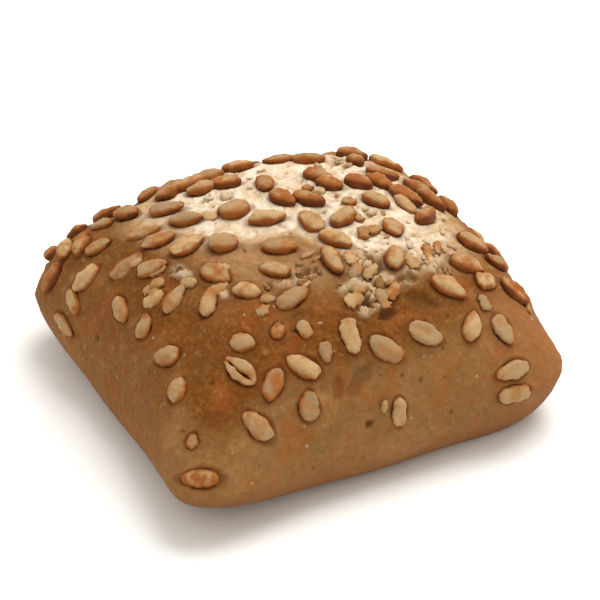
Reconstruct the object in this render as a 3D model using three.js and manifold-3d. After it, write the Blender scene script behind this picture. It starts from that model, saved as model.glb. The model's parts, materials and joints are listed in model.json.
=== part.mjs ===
// A square, pillow-shaped bread roll with hulled sunflower kernels pressed
// into its crust. Millimetres, +Z up, standing on its flat baked base.
// The roll was baked in one piece, so it is one solid. Each kernel is a
// separate body that sits in its own pocket in the crust.
//
// Directions: the four side faces look along +X, -X, +Y and -Y. "around" is
// the angle about the vertical axis in degrees, 0 at +X and 90 at +Y, so the
// corners are near 45, 135, 225 and 315.

import * as THREE from 'three';
import Module from 'manifold-3d';

const wasm = await Module();
wasm.setup();
const { Manifold, Mesh: SolidMesh } = wasm;

// ---------------------------------------------------------------- the roll --
const HALF_WIDTH = 50.5;      // X, from the middle to a side face, at the widest line
const HALF_DEPTH = 48.0;      // Y, the same
const CROWN_HEIGHT = 43.5;    // top of the crust above the base
const WIDEST_HEIGHT = 10.0;   // where the sides turn under
const SQUARENESS = 7.5;       // superellipse exponent of the outline at the widest line
const ROUNDING_RATE = 3.8;    // how quickly the outline rounds off towards the crown
const SHOULDER = 0.55;        // under 1 gives full shoulders and a flat crown
const CROWN_SHIFT = [1.0, 3.5];   // the dome leans this far in X and Y
const BASE_SIDE = 0.83;       // flat base over widest outline, in the middle of a side
const BASE_SQUARENESS = 6.0;  // the base has rounder corners than the widest line
const SWELL = 0.010;          // slow unevenness of the dome, as a share of its radius
// the swell's waves: [waves round the roll, phase, half waves up the dome, share of SWELL]
const SWELL_WAVES = [[3, 0.6, 1, 1.0], [5, 2.1, 2, 0.6]];

// each corner of the cut dough is drawn out along its diagonal, and curls up
// off the tray: [around, drawn out, curl, flat base over widest outline there]
const CORNERS = [
  [45, 3.0, 3.5, 0.90],
  [135, 3.0, 4.5, 0.86],
  [225, 4.5, 3.5, 0.76],
  [315, 1.5, 4.5, 0.90],
];
const DRAW_SHARPNESS = 24;    // how narrow the drawn-out point is
const CURL_SHARPNESS = 8;     // how far along the edges the curl reaches
const BASE_SHARPNESS = 11;    // the same for the base under a corner
const CORNER_FADE = 1.5;      // how quickly the corner dies away up the dome
const DRAWN_UNDER = 0.4;      // share of the drawn-out length that is left at the base

const AROUND_STEPS = 72;      // facets round the roll, closer together at the corners
const UNDER_STEPS = 4;        // rings from the base up to the widest line
const DOME_STEPS = 12;        // rings from the widest line to the crown
const CROWN_STEP = 0.4;       // the last ring is this share of a step from the crown point
const CORNER_BUNCHING = 0.11; // radians by which the facets crowd towards the corners

const rad = THREE.MathUtils.degToRad;

function cornerTerms(phi) {
  let drawn = 0, curl = 0, base = BASE_SIDE;
  for (const [at, out, up, share] of CORNERS) {
    const c = Math.max(0, Math.cos(phi - rad(at)));
    drawn += out * c ** DRAW_SHARPNESS;
    curl += up * c ** CURL_SHARPNESS;
    base += (share - BASE_SIDE) * c ** BASE_SHARPNESS;
  }
  return { drawn, curl, base };
}

function outline(phi, n) {
  return (Math.abs(Math.cos(phi)) ** n + Math.abs(Math.sin(phi)) ** n) ** (-1 / n);
}

// a point of the dome: rise is 0 at the widest line and 1 at the crown
function domePoint(phi, rise) {
  const { drawn, curl } = cornerTerms(phi);
  const a = rise * Math.PI / 2;
  const out = Math.cos(a) ** SHOULDER;
  const up = Math.sin(a);
  const n = 2 + (SQUARENESS - 2) * (1 - rise) ** ROUNDING_RATE;
  const fade = (1 - rise) ** CORNER_FADE;
  let swell = 1;
  for (const [waves, phase, halfWaves, share] of SWELL_WAVES) {
    swell += SWELL * share * Math.sin(waves * phi + phase) * Math.sin(halfWaves * Math.PI * rise);
  }
  const r = out * outline(phi, n) * swell;
  return new THREE.Vector3(
    (HALF_WIDTH * r + drawn * fade) * Math.cos(phi) + CROWN_SHIFT[0] * up,
    (HALF_DEPTH * r + drawn * fade) * Math.sin(phi) + CROWN_SHIFT[1] * up,
    WIDEST_HEIGHT + (CROWN_HEIGHT - WIDEST_HEIGHT) * up + curl * fade,
  );
}

// a point of the underside: under is 0 at the widest line and 1 at the base
function underPoint(phi, under) {
  const { drawn, curl, base } = cornerTerms(phi);
  const t = under * Math.PI / 2;
  const out = 1 - (1 - base) * (1 - Math.cos(t));
  const n = SQUARENESS + (BASE_SQUARENESS - SQUARENESS) * under;
  const r = out * outline(phi, n);
  const draw = drawn * (1 + (DRAWN_UNDER - 1) * under);
  return new THREE.Vector3(
    (HALF_WIDTH * r + draw) * Math.cos(phi),
    (HALF_DEPTH * r + draw) * Math.sin(phi),
    WIDEST_HEIGHT * (1 - Math.sin(t)) + curl * (1 - under * under),
  );
}

function roll() {
  const points = [], faces = [];
  const phis = [];
  for (let i = 0; i < AROUND_STEPS; i++) {
    const even = i / AROUND_STEPS * Math.PI * 2;
    phis.push(even + CORNER_BUNCHING * Math.sin(CORNERS.length * even));
  }
  const rings = [];
  for (let k = UNDER_STEPS; k >= 1; k--) rings.push(phis.map((p) => underPoint(p, k / UNDER_STEPS)));
  for (let k = 0; k < DOME_STEPS; k++) {
    const rise = k / (DOME_STEPS - 1 + CROWN_STEP);
    rings.push(phis.map((p) => domePoint(p, rise)));
  }
  for (const ring of rings) for (const p of ring) points.push(p.x, p.y, p.z);
  const at = (ring, i) => ring * AROUND_STEPS + (i % AROUND_STEPS);
  for (let r = 0; r + 1 < rings.length; r++) {
    for (let i = 0; i < AROUND_STEPS; i++) {
      faces.push(at(r, i), at(r, i + 1), at(r + 1, i + 1));
      faces.push(at(r, i), at(r + 1, i + 1), at(r + 1, i));
    }
  }
  const under = points.length / 3;
  points.push(0, 0, 0);
  const crown = under + 1;
  const top = domePoint(0, 1);
  points.push(top.x, top.y, top.z);
  const last = rings.length - 1;
  for (let i = 0; i < AROUND_STEPS; i++) {
    faces.push(under, at(0, i + 1), at(0, i));
    faces.push(crown, at(last, i), at(last, i + 1));
  }
  return solid(points, faces);
}

// ------------------------------------------------------------- the kernels --
const FACE_SINK = 0.42;       // share of a kernel's thickness that is below the crust, on the faces
const CROWN_SINK = 0.30;      // the same on the crown, where the kernels were pressed in less
const POCKET_GAP = 0.30;      // clearance all round between a kernel and its pocket
const POCKET_END_GAP = 0.48;  // the same at a kernel's two points
const KERNEL_SIDES = 8;
// the flattened teardrop: [along, 0 blunt end to 1 tip; share of full width; share of full thickness]
const KERNEL_STATIONS = [[0.05, 0.50, 0.52], [0.27, 0.94, 0.95], [0.54, 0.98, 1.0], [0.80, 0.60, 0.68]];

// Kernels on the faces, by their rise up the dome. Each row:
// [around, rise, turn, length, width, thickness, lean]
// turn is where the tip points: 0 up the dome, 90 anticlockwise round it.
// lean rolls the kernel about its length, so that it stands on edge.
const FACE_KERNELS = [
  [206, 0.400, 240, 6.8, 5.2, 2.6, 0],
  [214, 0.320, 5, 6.0, 5.2, 2.6, 0],
  [222, 0.185, 0, 4.0, 3.2, 1.8, 0],
  [225, 0.065, 260, 9.2, 4.6, 2.2, 0],
  [235, 0.250, 308, 9.0, 5.2, 2.8, 0],
  [238, 0.390, 194, 8.4, 5.0, 2.6, 0],
  [229, 0.435, 300, 9.0, 5.8, 2.6, 0],
  [246, 0.450, 298, 8.8, 5.2, 2.8, 0],
  [247, 0.290, 5, 7.0, 5.4, 2.8, 0],
  [228, 0.540, 90, 5.8, 5.2, 2.8, 0],
  [238, 0.595, 0, 4.4, 3.8, 2.2, 0],
  [247, 0.600, 330, 4.8, 3.8, 2.0, 0],
  [253, 0.500, 0, 5.0, 3.4, 2.2, 0],
  [262, 0.545, 180, 8.6, 4.8, 2.4, 0],
  [272, 0.447, 135, 8.8, 5.4, 2.8, 0],
  [286, 0.445, 138, 9.0, 5.4, 2.8, 0],
  [272, 0.160, 185, 6.8, 4.2, 2.2, 0],
  [223, 0.745, 95, 7.0, 4.8, 2.8, 0],
  [243, 0.735, 52, 9.4, 5.2, 3.0, 0],
  [210, 0.650, 343, 8.2, 4.4, 2.6, 35],
  [196, 0.600, 355, 8.4, 4.4, 2.6, 50],
  [191, 0.440, 345, 6.2, 5.0, 2.6, 0],
  [177, 0.410, 108, 8.0, 4.8, 2.8, 0],
  [155, 0.355, 10, 9.2, 5.6, 3.0, 0],
  [156, 0.230, 100, 7.0, 4.4, 2.6, 0],
  [155, 0.085, 95, 8.8, 4.2, 2.4, 0],
  [144, 0.195, 348, 8.8, 4.6, 2.8, 0],
  [175, 0.640, 28, 7.8, 5.0, 2.8, 0],
  [165, 0.555, 3, 9.8, 4.6, 2.6, 40],
  [188, 0.555, 30, 5.6, 4.4, 2.2, 0],
  [204, 0.770, 95, 9.2, 5.4, 3.0, 0],
  [300, 0.375, 58, 8.4, 4.8, 2.8, 0],
  [307, 0.295, 195, 7.6, 5.4, 2.8, 0],
  [303, 0.135, 280, 9.2, 4.6, 2.8, 0],
  [302, 0.030, 95, 8.0, 4.4, 2.4, 0],
];

// Kernels on the crown, by how far out they lie: 0 at the crown, 1 at the edge.
// [around, out, turn, length, width, thickness, lean]
const CROWN_KERNELS = [
  [142, 0.905, 280, 7.4, 5.0, 3.0, 0],
  [139, 0.945, 270, 8.2, 4.4, 2.8, 30],
  [129, 0.960, 0, 7.0, 4.8, 3.0, 0],
  [135, 0.790, 28, 8.8, 5.0, 2.8, 0],
  [128, 0.890, 0, 9.4, 4.4, 2.8, 0],
  [139, 0.610, 0, 9.4, 5.4, 3.0, 0],
  [152, 0.505, 5, 8.8, 4.8, 2.8, 0],
  [162, 0.635, 5, 9.0, 4.8, 2.8, 0],
  [175, 0.530, 355, 9.2, 5.6, 3.0, 0],
  [189, 0.405, 40, 7.4, 6.6, 3.8, 0],
  [143, 0.290, 330, 8.0, 6.2, 3.2, 0],
  [168, 0.130, 5, 9.4, 5.0, 3.0, 0],
  [85, 0.155, 333, 7.6, 4.8, 3.0, 0],
  [35, 0.150, 267, 8.2, 4.8, 3.0, 0],
  [291, 0.110, 21, 9.2, 5.6, 3.0, 0],
  [230, 0.290, 83, 8.6, 5.2, 2.8, 0],
  [268, 0.430, 180, 9.4, 5.0, 3.0, 0],
  [285, 0.300, 166, 9.2, 5.0, 3.0, 0],
  [325, 0.235, 124, 8.0, 5.4, 3.0, 0],
  [356, 0.575, 240, 9.8, 5.2, 3.0, 0],
  [332, 0.810, 180, 8.8, 5.0, 3.0, 0],
  [317, 0.795, 162, 9.2, 5.0, 3.0, 0],
  [303, 0.795, 164, 9.4, 5.0, 3.0, 0],
  [321, 0.925, 185, 9.0, 5.2, 3.0, 0],
];

const CRUST_FINISH = { color: 0xb5834f, roughness: 0.85, metalness: 0 };
const KERNEL_FINISH = { color: 0xcdb082, roughness: 0.6, metalness: 0 };

// the rise of a crown point that lies "out" of the way from the crown to the edge
const riseFromOut = (out) => Math.acos(out ** (1 / SHOULDER)) * 2 / Math.PI;

// a kernel about its own middle: length on X with the tip at +X, width on Y
function kernelShape(length, width, thickness) {
  const points = [-length / 2, 0, 0], faces = [];
  for (const [along, wide, thick] of KERNEL_STATIONS) {
    for (let i = 0; i < KERNEL_SIDES; i++) {
      const a = (i + 0.5) / KERNEL_SIDES * Math.PI * 2;
      const y = Math.cos(a) * wide * width / 2;
      const z = Math.sin(a) * thick * thickness / 2;
      points.push((along - 0.5) * length, y, z);
    }
  }
  const tip = points.length / 3;
  points.push(length / 2, 0, 0);
  const at = (ring, i) => 1 + ring * KERNEL_SIDES + (i % KERNEL_SIDES);
  const last = KERNEL_STATIONS.length - 1;
  for (let i = 0; i < KERNEL_SIDES; i++) {
    faces.push(0, at(0, i + 1), at(0, i));
    faces.push(tip, at(last, i), at(last, i + 1));
    for (let r = 0; r < last; r++) {
      faces.push(at(r, i), at(r, i + 1), at(r + 1, i + 1));
      faces.push(at(r, i), at(r + 1, i + 1), at(r + 1, i));
    }
  }
  return { points, faces };
}

// where a kernel sits: its middle and its three axes, as a matrix
function kernelPlace(around, rise, turn, width, thickness, lean, sink) {
  const phi = rad(around), step = 1e-3;    // a small step for the slopes
  const here = domePoint(phi, rise);
  const up = domePoint(phi, rise + step).sub(domePoint(phi, rise - step)).normalize();
  const side = domePoint(phi + step, rise).sub(domePoint(phi - step, rise)).normalize();
  const normal = new THREE.Vector3().crossVectors(side, up).normalize();
  side.crossVectors(up, normal).normalize();
  const along = up.multiplyScalar(Math.cos(rad(turn))).addScaledVector(side, Math.sin(rad(turn))).normalize();
  const across = new THREE.Vector3().crossVectors(normal, along);
  const l = rad(lean);
  const half = Math.hypot(thickness / 2 * Math.cos(l), width / 2 * Math.sin(l));
  const middle = here.addScaledVector(normal, half * (1 - 2 * sink));
  const y = across.clone().multiplyScalar(Math.cos(l)).addScaledVector(normal, Math.sin(l));
  const z = normal.clone().multiplyScalar(Math.cos(l)).addScaledVector(across, -Math.sin(l));
  return new THREE.Matrix4().makeBasis(along, y, z).setPosition(middle);
}

// ------------------------------------------------------------ solids and meshes --
function solid(points, faces) {
  return new Manifold(new SolidMesh({
    numProp: 3,
    vertProperties: new Float32Array(points),
    triVerts: new Uint32Array(faces),
  }));
}

function moved(points, matrix) {
  const v = new THREE.Vector3(), out = [];
  for (let i = 0; i < points.length; i += 3) {
    v.set(points[i], points[i + 1], points[i + 2]).applyMatrix4(matrix);
    out.push(v.x, v.y, v.z);
  }
  return out;
}

function bufferGeometry(points, faces) {
  const g = new THREE.BufferGeometry();
  g.setAttribute('position', new THREE.Float32BufferAttribute(points, 3));
  g.setIndex(Array.from(faces));
  return g;
}

function meshOf(name, geometry, finish) {
  const mesh = new THREE.Mesh(geometry, new THREE.MeshStandardMaterial(finish));
  mesh.name = name;
  return mesh;
}

const rows = [
  ...FACE_KERNELS.map((row) => [...row, FACE_SINK]),
  ...CROWN_KERNELS.map(([around, out, ...rest]) => [around, riseFromOut(out), ...rest, CROWN_SINK]),
];

const kernels = [], pockets = [];
rows.forEach(([around, rise, turn, length, width, thickness, lean, sink], i) => {
  const place = kernelPlace(around, rise, turn, width, thickness, lean, sink);
  const { points, faces } = kernelShape(length, width, thickness);
  const name = `kernel_${String(i + 1).padStart(2, '0')}`;
  const mesh = meshOf(name, bufferGeometry(points, faces), KERNEL_FINISH);
  place.decompose(mesh.position, mesh.quaternion, mesh.scale);
  kernels.push(mesh);
  const gap = 2 * POCKET_GAP;
  const grown = kernelShape(length + 2 * POCKET_END_GAP, width + gap, thickness + gap);
  pockets.push(solid(moved(grown.points, place), grown.faces));
});

const crust = roll().subtract(Manifold.union(pockets)).getMesh();
const loaf = meshOf('loaf', bufferGeometry(crust.vertProperties, crust.triVerts), CRUST_FINISH);

// the origin is under the middle of the whole roll, on the surface it stands on
const breadRoll = new THREE.Group();
breadRoll.name = 'bread_roll';
breadRoll.add(loaf, ...kernels);
const box = new THREE.Box3().setFromObject(breadRoll, true);
breadRoll.position.set(-(box.min.x + box.max.x) / 2, -(box.min.y + box.max.y) / 2, -box.min.z);
breadRoll.updateMatrixWorld(true);

export default breadRoll;
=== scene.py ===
# %% [markdown]
# # A square bread roll with sunflower kernels
# The roll was baked in one piece: a pillow of dough with a flat base, four drawn-out corners
# and a crown that stayed pale under its flour. Hulled sunflower kernels were pressed into the wet dough, and
# they toasted with it. The solids of the roll and its larger kernels come in as a frame, and
# everything below is made to sit where they sit. Lengths are in metres.

# %% Load the frame
import json
import math

import bpy
import numpy as np
from mathutils import Matrix, Vector

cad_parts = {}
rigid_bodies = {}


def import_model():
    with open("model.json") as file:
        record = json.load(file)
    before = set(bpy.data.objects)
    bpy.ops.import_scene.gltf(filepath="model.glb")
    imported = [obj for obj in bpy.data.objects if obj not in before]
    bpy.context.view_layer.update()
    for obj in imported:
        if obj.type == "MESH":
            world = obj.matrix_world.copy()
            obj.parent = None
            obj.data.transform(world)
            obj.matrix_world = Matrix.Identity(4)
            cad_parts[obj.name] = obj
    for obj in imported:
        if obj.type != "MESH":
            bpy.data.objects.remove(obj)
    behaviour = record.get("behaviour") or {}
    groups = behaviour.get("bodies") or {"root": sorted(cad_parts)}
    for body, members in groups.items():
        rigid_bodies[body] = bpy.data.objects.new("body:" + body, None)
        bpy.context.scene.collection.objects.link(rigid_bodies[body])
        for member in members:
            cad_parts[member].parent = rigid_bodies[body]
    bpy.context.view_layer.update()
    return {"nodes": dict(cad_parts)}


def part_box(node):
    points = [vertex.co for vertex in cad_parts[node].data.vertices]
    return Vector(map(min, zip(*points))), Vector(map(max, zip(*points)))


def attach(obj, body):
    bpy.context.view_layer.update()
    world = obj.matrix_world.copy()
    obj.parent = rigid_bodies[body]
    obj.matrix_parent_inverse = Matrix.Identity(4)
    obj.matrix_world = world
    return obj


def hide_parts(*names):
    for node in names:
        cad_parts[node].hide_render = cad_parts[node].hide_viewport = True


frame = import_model()
MM = 0.001

# %% [markdown]
# ## The roll's shape
# A batch of such dough is cut into squares, so the outline is a square with rounded corners
# low down, and it relaxes to an ellipse towards the crown. A superellipse does that with one
# exponent that falls on the way up. The corners are drawn out along their diagonals and curl
# off the tray. It could be sculpted, or pulled out of a subdivided box, but a rule is exact
# at any fineness, and the same rule made the frame's solid, so the crust starts on it. Only
# the point that was pinched into one corner is added here.

# %% Sizes of the roll
HALF_WIDTH = 50.5 * MM        # X, from the middle to a side face, at the widest line
HALF_DEPTH = 48.0 * MM        # Y, the same
CROWN_HEIGHT = 43.5 * MM      # top of the crust above the base
WIDEST_HEIGHT = 10.0 * MM     # where the sides turn under
SQUARENESS = 7.5              # superellipse exponent of the outline at the widest line
ROUNDING_RATE = 3.8           # how quickly the outline rounds off towards the crown
SHOULDER = 0.55               # under 1 gives full shoulders and a flat crown
CROWN_SHIFT = (1.0 * MM, 3.5 * MM)    # the dome leans this far in X and Y
BASE_SIDE = 0.83              # flat base over widest outline, in the middle of a side
BASE_SQUARENESS = 6.0         # the base has rounder corners than the widest line
SWELL = 0.010                 # slow unevenness of the dome, as a share of its radius
# the swell's waves: (waves round the roll, phase, half waves up the dome, share of SWELL)
SWELL_WAVES = ((3, 0.6, 1, 1.0), (5, 2.1, 2, 0.6))
# the corners: (around in degrees, drawn out, curl, flat base over widest outline there)
CORNERS = ((45, 3.0 * MM, 3.5 * MM, 0.90), (135, 3.0 * MM, 4.5 * MM, 0.86),
           (225, 4.5 * MM, 3.5 * MM, 0.76), (315, 1.5 * MM, 4.5 * MM, 0.90))
DRAW_SHARPNESS = 24           # how narrow the drawn-out point is
CURL_SHARPNESS = 8            # how far along the edges the curl reaches
BASE_SHARPNESS = 11           # the same for the base under a corner
CORNER_FADE = 1.5             # how quickly a corner dies away up the dome
DRAWN_UNDER = 0.4             # share of the drawn-out length that is left at the base
POINT_AROUND = math.radians(221)      # the corner that was pinched to a point
POINT_OUT, POINT_SHARPNESS = 1.9 * MM, 260    # how far it stands out, and how narrow it is
middle_of_roll = np.zeros(3)  # where the roll's own axis meets the floor, set below


def turned_from(around, middle):
    """How far angles are turned from a middle one, from minus to plus half a turn."""
    return (around - middle + math.pi) % (2 * math.pi) - math.pi


def corner_terms(around, point=POINT_OUT):
    """Drawn-out length, curl and share of the flat base, for angles in radians."""
    drawn, curl, base = 0.0, 0.0, BASE_SIDE
    for at, out, up, share in CORNERS:
        c = np.maximum(0, np.cos(around - math.radians(at)))
        drawn = drawn + out * c ** DRAW_SHARPNESS
        curl = curl + up * c ** CURL_SHARPNESS
        base = base + (share - BASE_SIDE) * c ** BASE_SHARPNESS
    drawn = drawn + point * np.maximum(0, np.cos(around - POINT_AROUND)) ** POINT_SHARPNESS
    return drawn, curl, base


def outline(around, n):
    """Radius of a unit superellipse with the exponent n."""
    return (np.abs(np.cos(around)) ** n + np.abs(np.sin(around)) ** n) ** (-1 / n)


def dome_point(around, rise, point=POINT_OUT):
    """Points of the upper crust: rise is 0 at the widest line and 1 at the crown."""
    drawn, curl, _ = corner_terms(around, point)
    slope = rise * math.pi / 2
    up = np.sin(slope)
    n = 2 + (SQUARENESS - 2) * (1 - rise) ** ROUNDING_RATE
    fade = (1 - rise) ** CORNER_FADE
    swell = 1.0
    for waves, phase, half_waves, share in SWELL_WAVES:
        wave = np.sin(waves * around + phase) * np.sin(half_waves * math.pi * rise)
        swell = swell + SWELL * share * wave
    r = np.maximum(np.cos(slope), 0) ** SHOULDER * outline(around, n) * swell
    x = (HALF_WIDTH * r + drawn * fade) * np.cos(around) + CROWN_SHIFT[0] * up
    y = (HALF_DEPTH * r + drawn * fade) * np.sin(around) + CROWN_SHIFT[1] * up
    z = WIDEST_HEIGHT + (CROWN_HEIGHT - WIDEST_HEIGHT) * up + curl * fade
    return np.stack([x, y, z], -1) + middle_of_roll


def under_point(around, under):
    """Points below the widest line: under is 0 there and 1 at the edge of the flat base."""
    drawn, curl, base = corner_terms(around)
    turn = under * math.pi / 2
    out = 1 - (1 - base) * (1 - np.cos(turn))
    r = out * outline(around, SQUARENESS + (BASE_SQUARENESS - SQUARENESS) * under)
    draw = drawn * (1 + (DRAWN_UNDER - 1) * under)
    x = (HALF_WIDTH * r + draw) * np.cos(around)
    y = (HALF_DEPTH * r + draw) * np.sin(around)
    z = WIDEST_HEIGHT * (1 - np.sin(turn)) + curl * (1 - under * under)
    return np.stack([x, y, z], -1) + middle_of_roll


def rise_from_out(out):
    """The rise of a crown point that lies "out" of the way from the crown to the edge."""
    return math.acos(out ** (1 / SHOULDER)) * 2 / math.pi


# %% Put the roll on the frame
loaf_low, loaf_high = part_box("loaf")
all_round = np.linspace(0, 2 * math.pi, 2881)
widest = np.concatenate([dome_point(all_round, np.full_like(all_round, rise), point=0.0)
                         for rise in (0, 0.02, 0.05)])
own_middle = (widest.min(0) + widest.max(0)) / 2
loaf_middle = (np.array(loaf_low) + np.array(loaf_high)) / 2
middle_of_roll = np.array([loaf_middle[0] - own_middle[0], loaf_middle[1] - own_middle[1], 0.0])
print("the roll's axis is off the origin by, mm", (middle_of_roll / MM).round(2))
print("rule's width and depth less the solid's, mm",
      ((widest.max(0) - widest.min(0) - np.array(loaf_high - loaf_low))[:2] / MM).round(2))

# %% [markdown]
# ## Camera, floor and light
# The roll is seen from a little above, on a corner, through a long lens. It stands on plain
# white, under one large softbox high up, behind it and to the right, so the crown is bright,
# the faces are in half shade and the only shadow is a soft one round the base. A sun lamp
# could be made as soft, but a softbox is what lights food on a table, and its light falls
# off as the real one's does. A pale surround fills the shade.

# %% Camera
VIEW_AROUND = math.radians(-27.4)
VIEW_ABOVE = math.radians(34.5)
VIEW_DISTANCE = 706 * MM
LENS = 176.6                  # on a sensor 36 wide
AIM_HEIGHT = 22 * MM
AIM_RIGHT = 0.67 * MM
AIM_UP = 0.14 * MM

towards_camera = Vector((math.sin(VIEW_AROUND) * math.cos(VIEW_ABOVE),
                         -math.cos(VIEW_AROUND) * math.cos(VIEW_ABOVE), math.sin(VIEW_ABOVE)))
camera_right = Vector((math.cos(VIEW_AROUND), math.sin(VIEW_AROUND), 0))
camera_up = towards_camera.cross(camera_right)
aim = Vector(middle_of_roll) + Vector((0, 0, AIM_HEIGHT)) + camera_right * AIM_RIGHT + camera_up * AIM_UP
camera_data = bpy.data.cameras.new("camera")
camera_data.lens = LENS
camera_data.sensor_width = 36.0
camera_data.clip_start = 0.01
camera_data.clip_end = 20.0
camera = bpy.data.objects.new("camera", camera_data)
camera.location = aim + towards_camera * VIEW_DISTANCE
camera.rotation_mode = "QUATERNION"
camera.rotation_quaternion = (-towards_camera).to_track_quat("-Z", "Y")
bpy.context.scene.collection.objects.link(camera)
bpy.context.scene.camera = camera
print("camera at, mm", [round(v / MM) for v in camera.location])

# %% Floor
FLOOR_HALF = 6.0
FLOOR_WHITE = (0.96, 0.96, 0.96, 1.0)
FLOOR_ROUGHNESS, FLOOR_GLOSS = 0.9, 0.1

bpy.ops.mesh.primitive_plane_add(size=2 * FLOOR_HALF)
floor = bpy.context.object
floor.name = "floor"
floor_paint = bpy.data.materials.new("floor_paint")
floor_paint.use_nodes = True
floor_shader = floor_paint.node_tree.nodes["Principled BSDF"]
floor_shader.inputs["Base Color"].default_value = FLOOR_WHITE
floor_shader.inputs["Roughness"].default_value = FLOOR_ROUGHNESS
floor_shader.inputs["Specular IOR Level"].default_value = FLOOR_GLOSS
floor.data.materials.append(floor_paint)
print("floor is", 2 * FLOOR_HALF, "m across")

# %% Light
SURROUND = 0.84               # brightness of the pale surround
SURROUND_TINT = (1.0, 0.980, 0.91, 1.0)
KEY_PLACE = Vector((0.46, 0.23, 1.12))
KEY_SIDE = 0.90
KEY_POWER = 13.0              # watts
KEY_COLOUR = (1.0, 0.99, 0.975)

world = bpy.data.worlds.new("surround")
world.use_nodes = True
world.node_tree.nodes["Background"].inputs["Color"].default_value = SURROUND_TINT
world.node_tree.nodes["Background"].inputs["Strength"].default_value = SURROUND
bpy.context.scene.world = world

key_data = bpy.data.lights.new("overhead_softbox", "AREA")
key_data.shape = "SQUARE"
key_data.size = KEY_SIDE
key_data.energy = KEY_POWER
key_data.color = KEY_COLOUR
key = bpy.data.objects.new("overhead_softbox", key_data)
key.location = KEY_PLACE
key.rotation_mode = "QUATERNION"
key.rotation_quaternion = (-KEY_PLACE).to_track_quat("-Z", "Y")
bpy.context.scene.collection.objects.link(key)
bpy.context.scene.view_settings.view_transform = "Standard"
print("light stands", round(KEY_PLACE.length, 2), "m off")

# %% [markdown]
# ## Where the kernels lie
# The larger kernels are solids of the frame, and their places are read from it. A kernel is a
# flattened teardrop, so its two farthest points are its ends, the end farther from the mean
# of its points is the tip, and its widest direction across is its width. Smaller kernels and
# broken ones, which the frame leaves out, are listed below, by direction and by the way from
# crown to edge. Laying them by eye in the viewport would do too, but a list can be read and
# changed. The far side is sown at random further down.

# %% Read the frame's kernels
SHAPES = ("whole", "plump", "slim", "creased", "half", "stub", "chip", "star", "flake", "open")


def read_kernel(name):
    """Middle, length axis, width axis, outward axis and three sizes of a frame kernel."""
    mesh = frame["nodes"][name].data
    points = np.zeros(len(mesh.vertices) * 3)
    mesh.vertices.foreach_get("co", points)
    points = np.unique(points.reshape(-1, 3).round(7), axis=0)
    gaps = np.linalg.norm(points[:, None] - points[None], axis=2)
    a, b = np.unravel_index(gaps.argmax(), gaps.shape)
    mean = points.mean(0)
    if np.linalg.norm(points[a] - mean) < np.linalg.norm(points[b] - mean):
        a, b = b, a
    tip, blunt = points[a], points[b]
    middle = (tip + blunt) / 2
    along = (tip - blunt) / np.linalg.norm(tip - blunt)
    rest = points - middle
    rest = rest - np.outer(rest @ along, along)
    across = np.linalg.eigh(rest.T @ rest)[1][:, 2]
    outward = np.cross(along, across)
    if outward @ (middle - crown_core) < 0:
        across, outward = -across, -outward
    width = 2 * np.abs(rest @ across).max()
    thickness = 2 * np.abs(rest @ outward).max()
    return middle, along, across, outward, (np.linalg.norm(tip - blunt), width, thickness)


crown_core = middle_of_roll + np.array([0, 0, 0.3 * CROWN_HEIGHT])    # outward is away from here
frame_kernels = sorted(n for n in frame["nodes"] if n.startswith("kernel_"))
print(len(frame_kernels), "kernels in the frame; the first is, mm",
      [round(v / MM, 1) for v in read_kernel(frame_kernels[0])[4]])

# %% [markdown]
# ## How each kernel looks
# Kernels low on the faces stayed pale, those on the crown browned on their sides and tips. A
# few split open, lost their tip or broke into chips. "toast" says how far a kernel browned,
# and the shape names are made further down. Each look is picked from a short list, which
# takes less work than a model of every kernel and still keeps neighbours from looking alike.

# %% Looks of the frame's kernels
FACE_TOAST, CROWN_TOAST = 0.30, 0.56
# kernels that face -X, away from the softbox, get more toast as painted shade
LEFT_SHADE_TOAST = 0.24             # added to kernels that face -X, which was the hotter side
FACE_COUNT = 35               # kernel_01 to kernel_35 lie on the faces, the rest on the crown
FULLNESS = 1.12               # how much wider they stay once the rounding has drawn them in
FACE_SWELLING, CROWN_SWELLING = 1.15, 1.30    # how much kernels puffed up in the oven
SHAPE_OF = {
    3: "plump", 4: "stub", 6: "creased", 7: "open", 9: "creased", 11: "plump", 12: "chip",
    13: "stub", 14: "star", 15: "stub", 16: "creased", 17: "chip", 18: "plump", 20: "slim", 21: "slim",
    22: "half", 24: "plump", 25: "stub", 29: "half", 30: "star", 31: "creased", 32: "slim",
    33: "half", 34: "half", 35: "stub", 38: "slim", 41: "half", 43: "half", 44: "half", 45: "plump",
    46: "plump", 47: "slim", 52: "slim", 54: "chip", 59: "creased",
}
TOAST_OF = {
    3: 0.90, 4: 0.85, 6: 0.70, 7: 0.2, 8: 0.45, 11: 0.7, 12: 0.15, 14: 0.1, 15: 0.2, 16: 0.15, 17: 0.05,
    18: 0.25, 24: 0.12, 26: 0.2, 27: 0.75, 29: 0.7, 30: 0.2, 31: 0.75, 32: 0.2, 33: 0.2, 34: 0.2, 35: 0.25,
    38: 0.95, 39: 0.75, 40: 0.8, 41: 0.5, 44: 0.35, 45: 0.3, 46: 0.25, 47: 0.45, 48: 0.95, 49: 1.0,
    50: 0.35, 51: 0.5, 52: 0.7, 53: 0.45, 54: 0.45, 55: 0.9, 56: 0.75, 57: 0.65, 58: 0.6, 59: 0.95,
}
print(len(SHAPE_OF), "frame kernels have a shape other than whole")

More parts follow.
